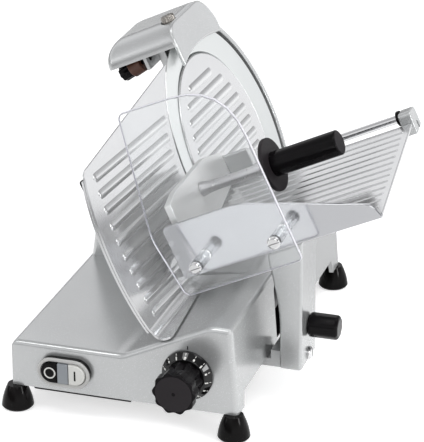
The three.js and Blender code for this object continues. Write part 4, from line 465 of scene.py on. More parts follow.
def rod(axis, low, high, radius, centre, edge=0.6, segments=48):
    return turned([(0, low), (radius, low, edge), (radius, high, edge), (0, high)], axis, centre, segments)


def tube(axis, span, radii, centre, edge=0.4, segments=48):
    low, high = span
    inner, outer = radii
    profile = [(inner, low), (outer, low, edge), (outer, high, edge), (inner, high), (inner, low)]
    return turned(profile, axis, centre, segments)


def fluted(stations, lobes, axis, centre, steps=12):
    """A lobed knob: each station gives its place along the axis, its radius and its flutes' depth."""
    loops = []
    for place, radius, depth in stations:
        loop = []
        for i in range(lobes * steps):
            angle = 2 * pi * i / (lobes * steps)
            reach = radius - depth * (0.5 - 0.5 * cos(lobes * angle))
            loop.append(along(axis, *around(centre, reach, angle), place))
        loops.append(loop)
    return loft(loops)


def bead(start, end, width, height, level, steps=12, end_steps=5, sunk=0.6, roof_power=1.4):
    """A rib with gently rounded sides and round ends that lies on the plane x = level."""
    start, end = Vector(start), Vector(end)
    run = (end - start).normalized()
    across = Vector((-run.y, run.x))
    turns = [k / end_steps * pi / 2 for k in range(1, end_steps + 1)]
    stations = [(start - run * (width / 2 * cos(t)), sin(t)) for t in turns]
    stations += [(end + run * (width / 2 * cos(t)), sin(t)) for t in reversed(turns)]
    loops = []
    for middle, size in stations:
        loop = []
        for j in range(2 * steps):
            angle = pi * j / steps
            p = middle + across * (width / 2 * size * cos(angle))
            rise = sunk * sin(angle)
            if angle <= pi:
                rise = height * (1 - abs(cos(angle)) ** roof_power)
            loop.append((level + rise * size, p.x, p.y))
        loops.append(loop)
    return loft(loops)


# Objects made from shapes, in the leaning frame unless another is given


def new_object(name, bm):
    """A scene object that takes over an edited mesh."""
    mesh = bpy.data.meshes.new(name)
    bm.to_mesh(mesh)
    bm.free()
    made = bpy.data.objects.new(name, mesh)
    scene.collection.objects.link(made)
    return made


def shade(thing, crease=CREASE):
    thing.data.shade_smooth()
    thing.data.set_sharp_from_angle(angle=radians(crease))


def mesh_object(name, parts, placing=LEANING, crease=CREASE):
    """One object from several shapes, placed in the row frame, with smooth faces and sharp creases."""
    bm = bmesh.new()
    for verts, faces in parts:
        made = [bm.verts.new(placing @ Vector(v)) for v in verts]
        for face in faces:
            if len(set(face)) > 2:
                bm.faces.new([made[i] for i in face])
    bmesh.ops.remove_doubles(bm, verts=bm.verts, dist=0.01 * MM)
    bmesh.ops.recalc_face_normals(bm, faces=bm.faces)
    made = new_object(name, bm)
    shade(made, crease)
    return made


def applied(thing, crease=CREASE):
    """The object with its modifiers made part of its mesh."""
    bpy.context.view_layer.update()
    graph = bpy.context.evaluated_depsgraph_get()
    thing.data = bpy.data.meshes.new_from_object(thing.evaluated_get(graph))
    thing.modifiers.clear()
    shade(thing, crease)
    return thing


def hollowed(thing, thickness, inside=0):
    """The skin thickened inwards; its inner faces take the finish that lies so many slots further."""
    skin = thing.modifiers.new("wall", "SOLIDIFY")
    skin.thickness = thickness * MM
    skin.offset = -1
    skin.material_offset = inside
    return applied(thing)


def cut(thing, parts, placing=LEANING):
    """The object with the shapes taken out of it."""
    tool = mesh_object("cutter", parts, placing)
    knife = thing.modifiers.new("cut", "BOOLEAN")
    knife.object = tool
    knife.solver = "EXACT"
    applied(thing)
    bpy.data.objects.remove(tool)
    return thing


def joined(thing, *others):
    """The object with the others' meshes added to its own."""
    whole = bmesh.new()
    for part in (thing, *others):
        whole.from_mesh(part.data)
    whole.to_mesh(thing.data)
    whole.free()
    for part in others:
        bpy.data.objects.remove(part)
    shade(thing)
    return thing


def paint(thing, *finishes):
    for finish in finishes:
        thing.data.materials.append(FINISHES[finish])


def fit(thing, node, slot=None, replace=True):
    """The object rides with a CAD node's body, in its slot, and stands for it."""
    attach(thing, body_of[node])
    if replace:
        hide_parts(node)
    slot = slot or slot_of[node]
    if not thing.data.materials:
        paint(thing, slot)
    flat = thing.modifiers.new("flat_faces", "WEIGHTED_NORMAL")
    flat.keep_sharp = True
    flat.weight = 80
    return thing


def build(node, parts, placing=LEANING, crease=CREASE, finish=None):
    """A node's object from shapes, in its slot's finish unless another is given."""
    made = mesh_object(node + "_shape", parts, placing, crease)
    if finish:
        paint(made, finish)
    return fit(made, node)


def extra(name, node, parts, placing=UPRIGHT, slot="black_plastic", finish=None):
    """A small piece that rides with a node's body without standing for the node."""
    made = mesh_object(name, parts, placing)
    paint(made, finish or slot)
    return fit(made, node, slot, replace=False)


def build_softened(edges):
    """CAD pieces with their flat faces merged and their edges rounded."""
    for node, edge in edges.items():
        bm = bmesh.new()
        bm.from_mesh(nodes[node].data)
        bmesh.ops.remove_doubles(bm, verts=bm.verts, dist=0.005 * MM)
        bmesh.ops.dissolve_limit(bm, angle_limit=radians(1), verts=bm.verts, edges=bm.edges)
        made = new_object(node + "_shape", bm)
        bevel = made.modifiers.new("edges", "BEVEL")
        bevel.width = edge * MM
        bevel.segments = 3
        bevel.limit_method = "ANGLE"
        bevel.angle_limit = radians(38)
        fit(applied(made, crease=40), node)


# Finishes

METAL = "Metallic"
SHINE = "Specular IOR Level"
CLEAR = "Transmission Weight"

# Plain: darker and lighter colour, roughness, scale of the grain, its relief and other settings
PLAIN_FINISHES = {
    "cast_alloy": ((0.5, 0.51, 0.51), (0.53, 0.54, 0.54), (0.22, 0.28), 1600, 0.03, {METAL: 0.6}),
    "satin_alloy": ((0.66, 0.665, 0.66), (0.7, 0.705, 0.7), (0.3, 0.36), 1600, 0.02, {METAL: 0.5}),
    "sheet_steel": ((0.42, 0.43, 0.44), (0.52, 0.53, 0.54), (0.35, 0.5), 500, 0.08, {METAL: 0.9}),
    "black_plastic": ((0.003, 0.003, 0.003), (0.006, 0.005, 0.006), (0.1, 0.14), 700, 0.01, {SHINE: 0.1}),
    "gloss_black": ((0.002, 0.002, 0.002), (0.004, 0.004, 0.004), (0.03, 0.05), 700, 0, {SHINE: 0.4}),
    "black_rubber": ((0.003, 0.003, 0.003), (0.006, 0.005, 0.005), (0.1, 0.14), 800, 0.01, {SHINE: 0.1}),
    # charcoal_and_painted_shade: real charcoal on the knob's face, the grip's end and collar, and painted
    # shade inside the base and the hood
    "charcoal_and_painted_shade": ((0.012, 0.01, 0.012), (0.017, 0.014, 0.016), (0.5, 0.62), 900, 0.1, {SHINE: 0.2}),
    "white_plastic": ((0.68, 0.68, 0.65), (0.74, 0.74, 0.71), (0.3, 0.4), 600, 0.04, {}),
    "grey_plastic": ((0.26, 0.28, 0.3), (0.31, 0.33, 0.35), (0.3, 0.45), 600, 0.05, {}),
    "bezel_plastic": ((0.5, 0.5, 0.49), (0.57, 0.57, 0.55), (0.3, 0.42), 600, 0.05, {}),
    "clear_plastic": ((0.95, 0.96, 0.97), (0.97, 0.98, 0.985), (0, 0.01), 300, 0, {"IOR": 1.49, CLEAR: 1}),
    # The guard's edge faces take a painted highlight and its rounded rim a painted grey shade line
    "clear_edge_highlight": ((0.8, 0.8, 0.86), (0.86, 0.86, 0.91), (0.2, 0.3), 500, 0, {"IOR": 1.49, CLEAR: 0.2}),
    "clear_rim_shade": ((0.3, 0.3, 0.34), (0.38, 0.38, 0.42), (0.2, 0.3), 500, 0.02, {"IOR": 1.49, CLEAR: 0.35}),
    "abrasive_stone": ((0.06, 0.02, 0.012), (0.12, 0.045, 0.025), (0.35, 0.5), 1500, 0.3, {}),
    "nylon": ((0.66, 0.64, 0.58), (0.74, 0.72, 0.66), (0.5, 0.6), 500, 0.05, {}),
}

# Brushed: darker and lighter colour, roughness, scales and relief of the lines, how metallic, and the turn
LINES_DEEP = (3000, 150, 3000)
LINES_ACROSS = (150, 3000, 3000)
LINES_UP = (700, 700, 60)
LINES_COARSE = (600, 80, 600)
LEAN = (0, TILT, 0)
LEVEL = (0, 0, 0)
BRUSHED_FINISHES = {
    "brushed_alloy": ((0.62, 0.625, 0.63), (0.66, 0.665, 0.67), (0.17, 0.21), LINES_DEEP, 0.003, 0.75, LEAN),
    "mirror_alloy": ((0.48, 0.485, 0.5), (0.5, 0.505, 0.52), (0.11, 0.15), LINES_ACROSS, 0.002, 0.95, LEAN),
    "polished_steel": ((0.6, 0.6, 0.61), (0.68, 0.68, 0.68), (0.1, 0.18), LINES_UP, 0.02, 1, LEVEL),
    "machined_steel": ((0.45, 0.45, 0.46), (0.58, 0.58, 0.59), (0.25, 0.4), LINES_COARSE, 0.06, 1, LEVEL),
    "dark_brown_steel": ((0.2, 0.19, 0.17), (0.34, 0.32, 0.3), (0.25, 0.4), LINES_COARSE, 0.06, 1, LEVEL),
    # painted_shade_steel is near-black painted shade on the slide bar
    "painted_shade_steel": ((0.04, 0.04, 0.042), (0.07, 0.07, 0.072), (0.35, 0.5), LINES_COARSE, 0.06, 0, LEVEL),
}

# Blade: darker and lighter colour, roughness, and scale and relief of its rings
BLADE_FINISH = ((0.7, 0.72, 0.715), (0.73, 0.75, 0.745), (0.36, 0.42), 900, 0.05)

# Noise that carries the finishes: its used range, its scale and detail, and depths of relief in metres
SPREAD = (0.3, 0.7)
COLOUR_SCALE = 14
COLOUR_DETAIL = 4
GRAIN_DETAIL = 6
LINE_DETAIL = 5
GRAIN_DEPTH = 0.0002
LINE_DEPTH = 0.0001


class Shading:
    """A tree of shader nodes with helpers that add to it."""

    def __init__(self, tree):
        self.tree = tree

    def node(self, kind, **inputs):
        made = self.tree.nodes.new("ShaderNode" + kind)
        for key, value in inputs.items():
            made.inputs[key.replace("_", " ")].default_value = value
        return made

    def link(self, source, target):
        self.tree.links.new(source, target)

    def math(self, operation, *values):
        """One operation on two values, each a number or a node's output."""
        made = self.node("Math")
        made.operation = operation
        for value, target in zip(values, made.inputs):
            if isinstance(value, bpy.types.NodeSocket):
                self.link(value, target)
            else:
                target.default_value = value
        return made.outputs["Value"]

    def ranged(self, value, given, wanted, kind="LINEAR"):
        """A value carried from one range to another."""
        made = self.node("MapRange", From_Min=given[0], From_Max=given[1], To_Min=wanted[0], To_Max=wanted[1])
        made.interpolation_type = kind
        self.link(value, made.inputs["Value"])
        return made.outputs["Result"]

    def split(self, vector):
        made = self.node("SeparateXYZ")
        self.link(vector, made.inputs["Vector"])
        return made.outputs

    def distance(self, place, middle):
        made = self.node("VectorMath")
        made.operation = "DISTANCE"
        made.inputs[1].default_value = middle
        self.link(place, made.inputs[0])
        return made.outputs["Value"]


class Finish(Shading):
    """A material with helpers that add its procedural colour, roughness and relief."""

    def __init__(self, name):
        self.material = bpy.data.materials.new(name)
        self.material.use_nodes = True
        super().__init__(self.material.node_tree)
        self.shader = self.tree.nodes["Principled BSDF"]
        self.coordinates = self.node("TexCoord").outputs["Object"]

    def set(self, settings):
        for name, value in settings.items():
            self.shader.inputs[name].default_value = value

    def noise(self, scale, detail, vector=None):
        made = self.node("TexNoise", Scale=scale, Detail=detail)
        self.link(vector or self.coordinates, made.inputs["Vector"])
        return made.outputs["Fac"]

    def colours(self, *colours):
        """A slow drift between a darker and a lighter colour."""
        ramp = self.node("ValToRGB")
        for element, place, colour in zip(ramp.color_ramp.elements, SPREAD, colours):
            element.position = place
            element.color = (*colour, 1)
        self.link(self.noise(COLOUR_SCALE, COLOUR_DETAIL), ramp.inputs["Fac"])
        self.link(ramp.outputs["Color"], self.shader.inputs["Base Color"])

    def surface(self, factor, rough, strength, depth):
        """Roughness and relief that follow the same pattern."""
        self.link(self.ranged(factor, SPREAD, rough), self.shader.inputs["Roughness"])
        bump = self.node("Bump", Strength=strength, Distance=depth)
        self.link(factor, bump.inputs["Height"])
        self.link(bump.outputs["Normal"], self.shader.inputs["Normal"])


def plain_finish(name, dark, light, rough, grain, strength, settings):
    """A colour with a fine grain."""
    made = Finish(name)
    made.colours(dark, light)
    made.surface(made.noise(grain, GRAIN_DETAIL), rough, strength, GRAIN_DEPTH)
    made.set(settings)
    return made.material


def brushed_finish(name, dark, light, rough, scales, strength, metallic, turn):
    """A metal with fine lines that run along one direction."""
    made = Finish(name)
    made.colours(dark, light)
    mapping = made.node("Mapping", Scale=scales, Rotation=turn)
    made.link(made.coordinates, mapping.inputs["Vector"])
    made.surface(made.noise(1, LINE_DETAIL, mapping.outputs["Vector"]), rough, strength, LINE_DEPTH)
    made.set({METAL: metallic})
    return made.material


def blade_finish(name, dark, light, rough, scale, strength):
    """Ground steel with fine rings round the blade's axis."""
    made = Finish(name)
    made.colours(dark, light)
    rings = made.node("TexNoise", Scale=scale, Detail=LINE_DETAIL)
    rings.noise_dimensions = "1D"
    reach = made.distance(made.coordinates, LEANING @ Vector((BLADE_PLANE, *BLADE_AXIS)))
    made.link(reach, rings.inputs["W"])
    made.surface(rings.outputs["Fac"], rough, strength, LINE_DEPTH)
    made.set({METAL: 1})
    return made.material


FINISHES = {name: plain_finish(name, *values) for name, values in PLAIN_FINISHES.items()}
FINISHES.update({name: brushed_finish(name, *values) for name, values in BRUSHED_FINISHES.items()})
FINISHES["blade_steel"] = blade_finish("blade_steel", *BLADE_FINISH)


# Base, tower and feet


def lean_place(n, u):
    """Upright X and Z of a point of the leaning frame."""
    return (TOE_X + n * cos(TILT) - u * sin(TILT), DECK_Z + n * sin(TILT) + u * cos(TILT))


def base_block():
    """The low deck, slope and ridge as an open-bottomed skin with rounded ends and a lifted right skirt."""
    drop = BASE_EDGE + SECTION_SPARE
    wall_lean = SIDE_DRAFT / (RIDGE_Z - FOOT_HEIGHT)
    section = [
        (0, FOOT_HEIGHT - drop),
        (BASE_WIDTH + drop * wall_lean, FOOT_HEIGHT - drop),
        (BASE_WIDTH - SIDE_DRAFT, RIDGE_Z, 4),
        (BASE_WIDTH - SIDE_DRAFT - RIDGE_WIDTH, RIDGE_Z, 7),
        (TOE_X, DECK_Z, 8),
        (LEFT_DRAFT, DECK_Z, 6),
    ]
    ends = [(y, inset, FOOT_HEIGHT) for y, inset in quarter_round(BASE_EDGE, steps=6)]
    front, rear = ARCH_YS
    arch = [(front - ARCH_LEAN, SKIRT_Z), (front, ARCH_Z - ARCH_RADIUS), (front + ARCH_RADIUS, ARCH_Z)]
    arch += [(rear - ARCH_RADIUS, ARCH_Z), (rear, ARCH_Z - ARCH_RADIUS), (rear + ARCH_LEAN, SKIRT_Z)]
    skirt = [(SKIRT_FRONT[0], FOOT_HEIGHT), (SKIRT_FRONT[1], SKIRT_Z)] + arch
    skirt += [(SKIRT_REAR[0], SKIRT_Z), (SKIRT_REAR[1], FOOT_HEIGHT)]
    middle = [(y, 0, low) for y, low in skirt]
    back = [(BASE_DEPTH - y, inset, low) for y, inset, low in reversed(ends)]
    loops = []
    for y, inset, low in ends + middle + back:
        loop = []
        for p in softened(shrunk(section, inset)):
            right = p.x > BASE_WIDTH / 2
            lift = max((low if right else FOOT_HEIGHT) - p.y, 0)
            lean = -wall_lean if right else LEFT_DRAFT / (DECK_Z - FOOT_HEIGHT)
            sharper = LEFT_SHARPNESS * inset * max(1 - p.x / LEFT_FADE, 0)
            loop.append((p.x + lift * lean - sharper, y, p.y + lift))
        loops.append(loop)
    block = mesh_object("base_housing_shape", [loft(loops, skip=(0,))], UPRIGHT)
    # The inner faces are painted near-black as painted shade for the dark opening behind the carriage arm
    paint(block, "cast_alloy", "charcoal_and_painted_shade")
    hollowed(block, WALL, inside=1)
    slot = prism(rectangle(*GAUGE_SLOT, radius=3), "z", *GAUGE_SLOT_DEPTH, FINE_EDGE)
    cut(block, [slot])
    pocket = moved(oval(SWITCH_SIZE[0] - POCKET_MARGIN, SWITCH_SIZE[1] - POCKET_MARGIN), SWITCH)
    return cut(block, [cutter(pocket, "y", -1, 2 * WALL)], UPRIGHT)


def tower_shape():
    top = lean_place(WEB_FACE, BLADE_AXIS[1] + TOWER_RISE)
    toe = lean_place(WEB_FACE, -WALL)
    crown = curve_points(top, (17, top[1] - 20), (12, DECK_Z + 60), steps=12)
    foot = DECK_Z - TOWER_SUNK
    outline = [(2, foot), (toe[0], foot), toe] + crown
    return prism(outline, "y", *TOWER_YS, edge=6, steps=5)


def make_base():
    block = base_block()
    tower = mesh_object("tower", [tower_shape()], UPRIGHT, crease=30)
    low, high, radius = COWL
    profile = [(0, low), (radius, low, 9), (radius, high, 2), (0, high)]
    cowl = turned(profile, "x", MOTOR_AXIS, segments=96)
    boss = rod("x", *TIE_BOSS, BLADE_AXIS, edge=1.5)
    seat = prism(rectangle(*SEAT), "x", WEB_FACE - SEAT_DEPTH, WEB_FACE, edge=1.5)
    joined(block, tower, mesh_object("fittings", [cowl, boss, seat]))
    shade(block, crease=40)
    fit(block, "base_housing")
    build_softened(BASE_SOFT_EDGES)


def make_feet():
    rises = [(FOOT_TOP - FOOT_LIP) * k / FOOT_STEPS for k in range(FOOT_STEPS + 1)]
    flank = [(FOOT_RADIUS - FOOT_TAPER * rise - FOOT_BOW * rise ** 2, FOOT_LIP + rise) for rise in rises]
    profile = [(0, 0), (FOOT_RADIUS - 1.8, 0, 1.2)] + flank + [(0, FOOT_TOP)]
    for corner in ("front_left", "front_right", "rear_left", "rear_right"):
        node = "foot_" + corner
        low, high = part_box(node)
        middle = UPRIGHT.inverted() @ ((low + high) / 2)
        build(node, [turned(profile, "z", (middle.x, middle.y))], UPRIGHT)


def make_gland():
    profile = [(3.5, 358.3), (9, 358.3, 0.5), (9, 362, 1), (7, 369, 1), (3.5, 369), (3.5, 358.3)]
    build("cable_gland", [turned(profile, "y", GLAND)], UPRIGHT)


# Front panel controls


def oval_band(profile):
    """A closed band round the switch; the profile lists how far in it lies and how deep."""
    length, height = SWITCH_SIZE
    loops = []
    for inset, y in profile:
        path = moved(oval(length - 2 * inset, height - 2 * inset), SWITCH)
        loops.append([(a, y, b) for a, b in path])
    return loft(loops, ring=True)


def half_button(side):
    """One end of the oval, cut straight beside the lens."""
    length, height = SWITCH_SIZE[0] - BUTTON_MARGIN, SWITCH_SIZE[1] - BUTTON_MARGIN
    end = arc_points(((length - height) / 2, 0), height / 2, -pi / 2, pi / 2)
    points = end + [(BUTTON_INNER, height / 2), (BUTTON_INNER, -height / 2)]
    return prism(moved([(side * a, b) for a, b in points], SWITCH), "y", *BUTTON_YS, edge=1.4)


def make_switch():
    outside = [(1, -0.5), (1, -5.4), (0, -5.6), (0.3, -6.5), (1, -7)]
    inside = [(2.6, -7), (3.4, -6.6), (3.8, -5.8), (4, -4), (4, -0.5)]
    build("switch_bezel", [oval_band(outside + inside)], UPRIGHT)
    wall = [(0.9, -0.3), (0.3, -0.3), (0.2, -5.0), (0.9, -5.3)]
    extra("switch_wall", "switch_bezel", [oval_band(wall)])
    build("stop_button", [half_button(-1)], UPRIGHT)
    build("start_button", [half_button(1)], UPRIGHT)
    lens = centred(SWITCH, LENS_WIDTH, SWITCH_SIZE[1] - LENS_MARGIN, radius=0.8)
    build("pilot_lens", [prism(lens, "y", *LENS_YS, edge=0.8)], UPRIGHT)
    x, z = SWITCH
    ring = [(4.4, -8.9), (4.5, -9.25), (5.7, -9.25), (5.8, -8.9), (4.4, -8.9)]
    stop = turned(ring, "y", (x - MARK_OFFSET, z), segments=48)
    extra("mark_stop", "stop_button", [stop], slot="white_plastic")
    start = prism(centred((x + MARK_OFFSET, z), *MARK_BAR), "y", *MARK_YS, FINE_EDGE)
    extra("mark_start", "start_button", [start])


def dial_ticks():
    """Plain marks that lie on the dial's sloping skirt."""
    fall = (DIAL_RIM - DIAL_FACE[1]) / (DIAL_RADIUS - DIAL_FACE[0])
    ticks = []
    for i in range(DIAL_MARKS):
        turn = Matrix.Rotation(2 * pi * i / DIAL_MARKS, 4, "Y")
        marks = [TICK_OUTER, TICK_INNER[i % 2]] if i else TICKS_FIRST
        for reach, length, width in marks:
            outline = centred((0, 0), width, length, width * TICK_ROUND)
            verts, faces = prism(outline, "y", *TICK_YS, edge=0.05)
            depth = DIAL_RIM - (DIAL_RADIUS - reach) * fall
            slope = Matrix.Rotation(atan(fall) - pi / 2, 4, "X")
            lay = turn @ Matrix.Translation((0, depth, reach)) @ slope
            ticks.append(([lay @ Vector(v) for v in verts], faces))
    return ticks


def make_dial():
    back, rim = DIAL_BACK, DIAL_RIM
    skirt = [(DIAL_BORE, back), (DIAL_RADIUS, back, 0.3), (DIAL_RADIUS, rim, 0.8), (*DIAL_FACE, 1.2)]
    skirt += [(DIAL_BORE, DIAL_FACE[1]), (DIAL_BORE, back)]
    build("thickness_dial", [turned(skirt, "y", DIAL, segments=96)], UPRIGHT, finish="gloss_black")
    placing = UPRIGHT @ Matrix.Translation((DIAL[0], 0, DIAL[1]))
    extra("dial_ticks", "thickness_dial", dial_ticks(), placing, "white_plastic")
    head = [(-42, 19.4, 1.7), (-41.7, 20.3, 1.9), (-41, 20.9, 2), (-40, 21, 2), (-31, 21, 2)]
    neck = [(-29.6, 20.4, 2), (-28.8, 18.6, 1.9), (-28.2, 16.2, 1.7), (-22, 15.6, 1.7), (-15, 16.4, 1.9)]
    foot = [(-10.5, 17.6, 2), (-9.6, 17.8, 2)]
    build("thickness_knob", [fluted(head + neck + foot, DIAL_LOBES, "y", DIAL)], UPRIGHT)
    face = turned([(0, -42.3), (17.4, -42.3, 0.3), (17.6, -41.8), (0, -41.8)], "y", DIAL)
    extra("knob_face", "thickness_knob", [face], finish="charcoal_and_painted_shade")
    # A black dot painted as the shade in the knob face's centre dimple
    dot = turned([(0, -42.8), (1.6, -42.8, 0.3), (1.7, -42.2), (0, -42.2)], "y", DIAL)
    extra("knob_dot", "thickness_knob", [dot])
    low, high = [DIAL[1] + DIAL_RADIUS + rise for rise in POINTER_SPAN]
    pointer = rectangle(DIAL[0] - POINTER_WIDTH / 2, low, DIAL[0] + POINTER_WIDTH / 2, high)
    bar = prism(pointer, "y", *POINTER_YS, FINE_EDGE)
    extra("dial_pointer", "base_housing", [bar])


# Gauge plate: one sheet with a curled foot, a turned-back front rim and low rounded ribs


def curl_point(s):
    """Place across and up of the sheet at a developed height: upright, then bent round to the right."""
    bend, radius = PLATE_BEND, PLATE_CURL
    if s >= bend:
        return PLATE_FACE, s
    turn = (bend - s) / radius
    if turn <= pi / 2:
        return PLATE_FACE + radius * (1 - cos(turn)), bend - radius * sin(turn)
    return PLATE_FACE + radius + (turn - pi / 2) * radius, bend - radius


def front_edge():
    return curve_points(*PLATE_FRONT, steps=20)


def plate_outline():
    """The sheet's outline laid flat, in depth and developed height."""
    tip = curve_points(PLATE_FRONT[-1], (2, -3), (-3, -6), (0, -11.8))
    foot = curve_points((3, -13), (60, -8), (130, 2), (205, 7.5))
    angles = [pi - asin((u - BLADE_AXIS[1]) / PLATE_REACH) for u in (PLATE_FOOT, PLATE_TOP)]
    rear = arc_points(BLADE_AXIS, PLATE_REACH, *angles, steps=30)
    start = PLATE_FRONT[0]
    corner = curve_points((35, PLATE_FRONT_TOP), (start[0], PLATE_FRONT_TOP), start, steps=6)
    return front_edge()[1:] + tip[1:] + foot + rear + corner


def gauge_sheet():
    bm = bmesh.new()
    bm.faces.new([bm.verts.new((y, s, 0)) for y, s in plate_outline()])
    for k in range(CURL_STEPS + 1):
        s = PLATE_BEND - PLATE_CURL * pi / 2 * k / CURL_STEPS
        geometry = bm.verts[:] + bm.edges[:] + bm.faces[:]
        bmesh.ops.bisect_plane(bm, geom=geometry, plane_co=(0, s, 0), plane_no=(0, 1, 0))
    for v in bm.verts:
        n, u = curl_point(v.co.y)
        v.co = LEANING @ Vector((n, v.co.x, u))
    bmesh.ops.recalc_face_normals(bm, faces=bm.faces)
    outward = LEANING.to_3x3() @ Vector((1, 0, 0))
    if sum(f.normal.dot(outward) * f.calc_area() for f in bm.faces) < 0:
        bmesh.ops.reverse_faces(bm, faces=bm.faces)
    return hollowed(new_object("gauge_plate_shape", bm), PLATE_THICKNESS)


def gauge_ribs():
    ribs = []
    for i in range(RIB_COUNT):
        rise = RIB_FIRST - i * RIB_PITCH
        bow = (rise - RIB_MIDDLE) / RIB_HALF
        front = RIB_FRONT + RIB_BOW * bow * bow
        across = (rise - BLADE_AXIS[1]) / PLATE_REACH
        rear = BLADE_AXIS[0] - PLATE_REACH * sqrt(1 - across * across) - RIB_GAP
        end = (rear, rise - RIB_FALL * (rear - front))
        ribs.append(bead((front, rise), end, *RIB_SIZE, PLATE_FACE))
    return ribs


def rim_shape():
    """The turned-back rim as a thin wall along the bowed front edge."""
    line = front_edge()
    wall = [(y + RIM_YS[0], u) for y, u in line] + [(y + RIM_YS[1], u) for y, u in reversed(line)]
    return prism(wall, "x", *RIM_SPAN, edge=0.5)


def make_gauge():
    sheet = gauge_sheet()
    raised = mesh_object("gauge_raised", gauge_ribs() + [rim_shape()])
    fit(joined(sheet, raised), "gauge_plate")
    build_softened(GAUGE_SOFT_EDGES)


# Blade, cover and ring guard


def make_blade():
    profile = [
        (12.3, 22), (85, 22, 6), (97.5, 26.7, 10), (122.5, 33), (BLADE_RADIUS, BLADE_PLANE), (124.6, 35.02),
        (98, 31.9, 0.6), (96.4, 29, 0.6), (80, 25.2, 6), (12.3, 25.2), (12.3, 22),
    ]
    build("blade", [turned(profile, "x", BLADE_AXIS, segments=160)], crease=25)


def make_cover():
    back = COVER_FACE - COVER_PLATE
    profile = [(0, back), (COVER_RADIUS, back, 0.6)]
    profile += [(COVER_RADIUS, COVER_FACE, 1.4), (0, COVER_FACE)]
    boss_low, boss_radius = COVER_BOSS
    parts = [turned(profile, "x", BLADE_AXIS, segments=128)]
    parts.append(rod("x", boss_low, back + 1, boss_radius, BLADE_AXIS))
    width, height = COVER_RIB
    count = int(COVER_RIB_REACH // COVER_RIB_PITCH)
    for i in range(-count, count + 1):
        rise = i * COVER_RIB_PITCH
        half = sqrt(COVER_RIB_REACH ** 2 - rise ** 2) - width / 2
        fall = COVER_RIB_FALL * half
        start, end = moved([(-half, rise + fall), (half, rise - fall)], BLADE_AXIS)
        parts.append(bead(start, end, width, height, COVER_FACE))
    build("blade_cover", parts)
    knob = [(-101.3, 9.6, 1), (-100.6, 10.7, 1.2), (-99, 11, 1.2)]
    knob += [(-88, 11, 1.2), (-86.6, 10.4, 1.2), (-86.3, 9.8, 1)]
    shank = rod("x", *TIE_ROD, BLADE_AXIS)
    build("cover_tie_rod", [fluted(knob, SMALL_LOBES, "x", BLADE_AXIS), shank])


def make_ring():
    start = asin((RING_ENDS[0] - BLADE_AXIS[1]) / RING_INNER)
    stop = acos(RING_ENDS[1] / RING_INNER)

    def band(inner, outer, steps=64):
        outside = arc_points(BLADE_AXIS, outer, start, stop, steps)
        return outside + arc_points(BLADE_AXIS, inner, stop, start, steps)

    web_inner, web_face = RING_WEB
    ring = prism(band(RING_INNER, RING_OUTER), "x", *RING_SPAN, edge=1.4)
    web = prism(band(web_inner, RING_INNER + RING_OVERLAP), "x", RING_SPAN[0], web_face, edge=0.3)
    build("ring_guard", [ring, web])


# Sharpener


def hood_inset(drop, run, height):
    """How far a rounded shoulder has drawn in at a depth below the top."""
    level = 1 - min(1.0, drop / height)
    return run * (1 - sqrt(1 - level * level))


def stone_place(name):
    """A sharpening stone's own frame: its axis along x, leaning by the stones' tilt."""
    low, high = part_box(name + "_stone")
    middle = LEANING.inverted() @ ((low + high) / 2)
    return LEANING @ Matrix.Translation(middle) @ Matrix.Rotation(-STONE_TILT, 4, "Y")


def hood_shell():
    """A rounded hood, open below, with its inside painted near-black as painted shade."""
    left, right, front, back = HOOD
    foot, top = HOOD_U
    loops = []
    for k in range(HOOD_STEPS + 1):
        drop = (top - foot) * (1 - sin(k / HOOD_STEPS * pi / 2))
        n0 = left + hood_inset(drop, run=16, height=20)
        n1 = right - hood_inset(drop, run=9, height=9)
        y0 = front + hood_inset(drop, run=30, height=top - foot)
        y1 = back - hood_inset(drop, run=26, height=20)
        plan = softened([(n0, y0, 7), (n1, y0, 4), (n1, y1, 6), (n0, y1, 9)])
        loops.append([(p.x, p.y, top - drop) for p in plan])
    hood = mesh_object("sharpener_hood_shape", [loft(loops, caps=(False, True))])
    # The second finish is painted shade on the hood's inner faces
    paint(hood, slot_of["sharpener_hood"], "charcoal_and_painted_shade")
    return hollowed(hood, thickness=3, inside=1)


def hood_leg():
    """The apron that hangs over the blade, bowed along its lower edge."""
    front, back = LEG_YS
    foot = BLADE_AXIS[1] + BLADE_RADIUS - LEG_DROP
    top = HOOD_U[1] - 1
    outline = curve_points((front, foot - 6), (338, foot + 4), (372, foot + 4), (back, foot - 7), steps=16)
    outline += [(back, foot + 7)] + curve_points((back, foot + 8), (410, top), (386, top))
    outline += [(322, top)] + curve_points((321, top), (front, top), (front, top - 16))
    return prism(outline, "x", LEG_BACK, HOOD[1] + LEG_PROUD, edge=2.15, steps=5)


def make_hood():
    n, y, radius = CLAMP
    top = HOOD_U[1]
    hood = hood_shell()
    flap = mesh_object("hood_leg", [hood_leg()])
    low, high = [top + rise for rise in CLAMP_HOLE]
    cut(hood, [rod("z", low, high, radius + CLAMP_GAP, (n, y), edge=0.05)])
    carrier = [(311, 183), (357, 183), (357, 212), (328, 212), (311, 202)]
    plate = mesh_object("hood_carrier", [prism(carrier, "x", *CARRIER_SPAN, edge=0.5)])
    for name in STONE_NAMES:
        bore = rod("x", *SPINDLE_BORE, SPINDLE_RADIUS + SPINDLE_GAP, (0, 0), edge=0.05)
        cut(plate, [bore], stone_place(name))
    fit(joined(hood, flap, plate), "sharpener_hood")


def make_clamp():
    n, y, radius = CLAMP
    top = HOOD_U[1]
    ridged = [(top - 6, radius, 0.9), (top + 4.2, radius, 0.9)]
    ridged += [(top + 5.2, radius - 0.5, 0.8), (top + 5.5, radius - 1.4, 0.5)]
    knurl = mesh_object("clamp_screw_shape", [fluted(ridged, CLAMP_LOBES, "z", (n, y), steps=8)])
    # The clamp screw's steel is darker and browner than the other steels
    paint(knurl, "dark_brown_steel")
    low, high = [top + rise for rise in CLAMP_SLOT_RISE]
    cut(knurl, [cutter(centred((n, y), *CLAMP_SLOT), "z", low, high)])
    fit(knurl, "clamp_screw")


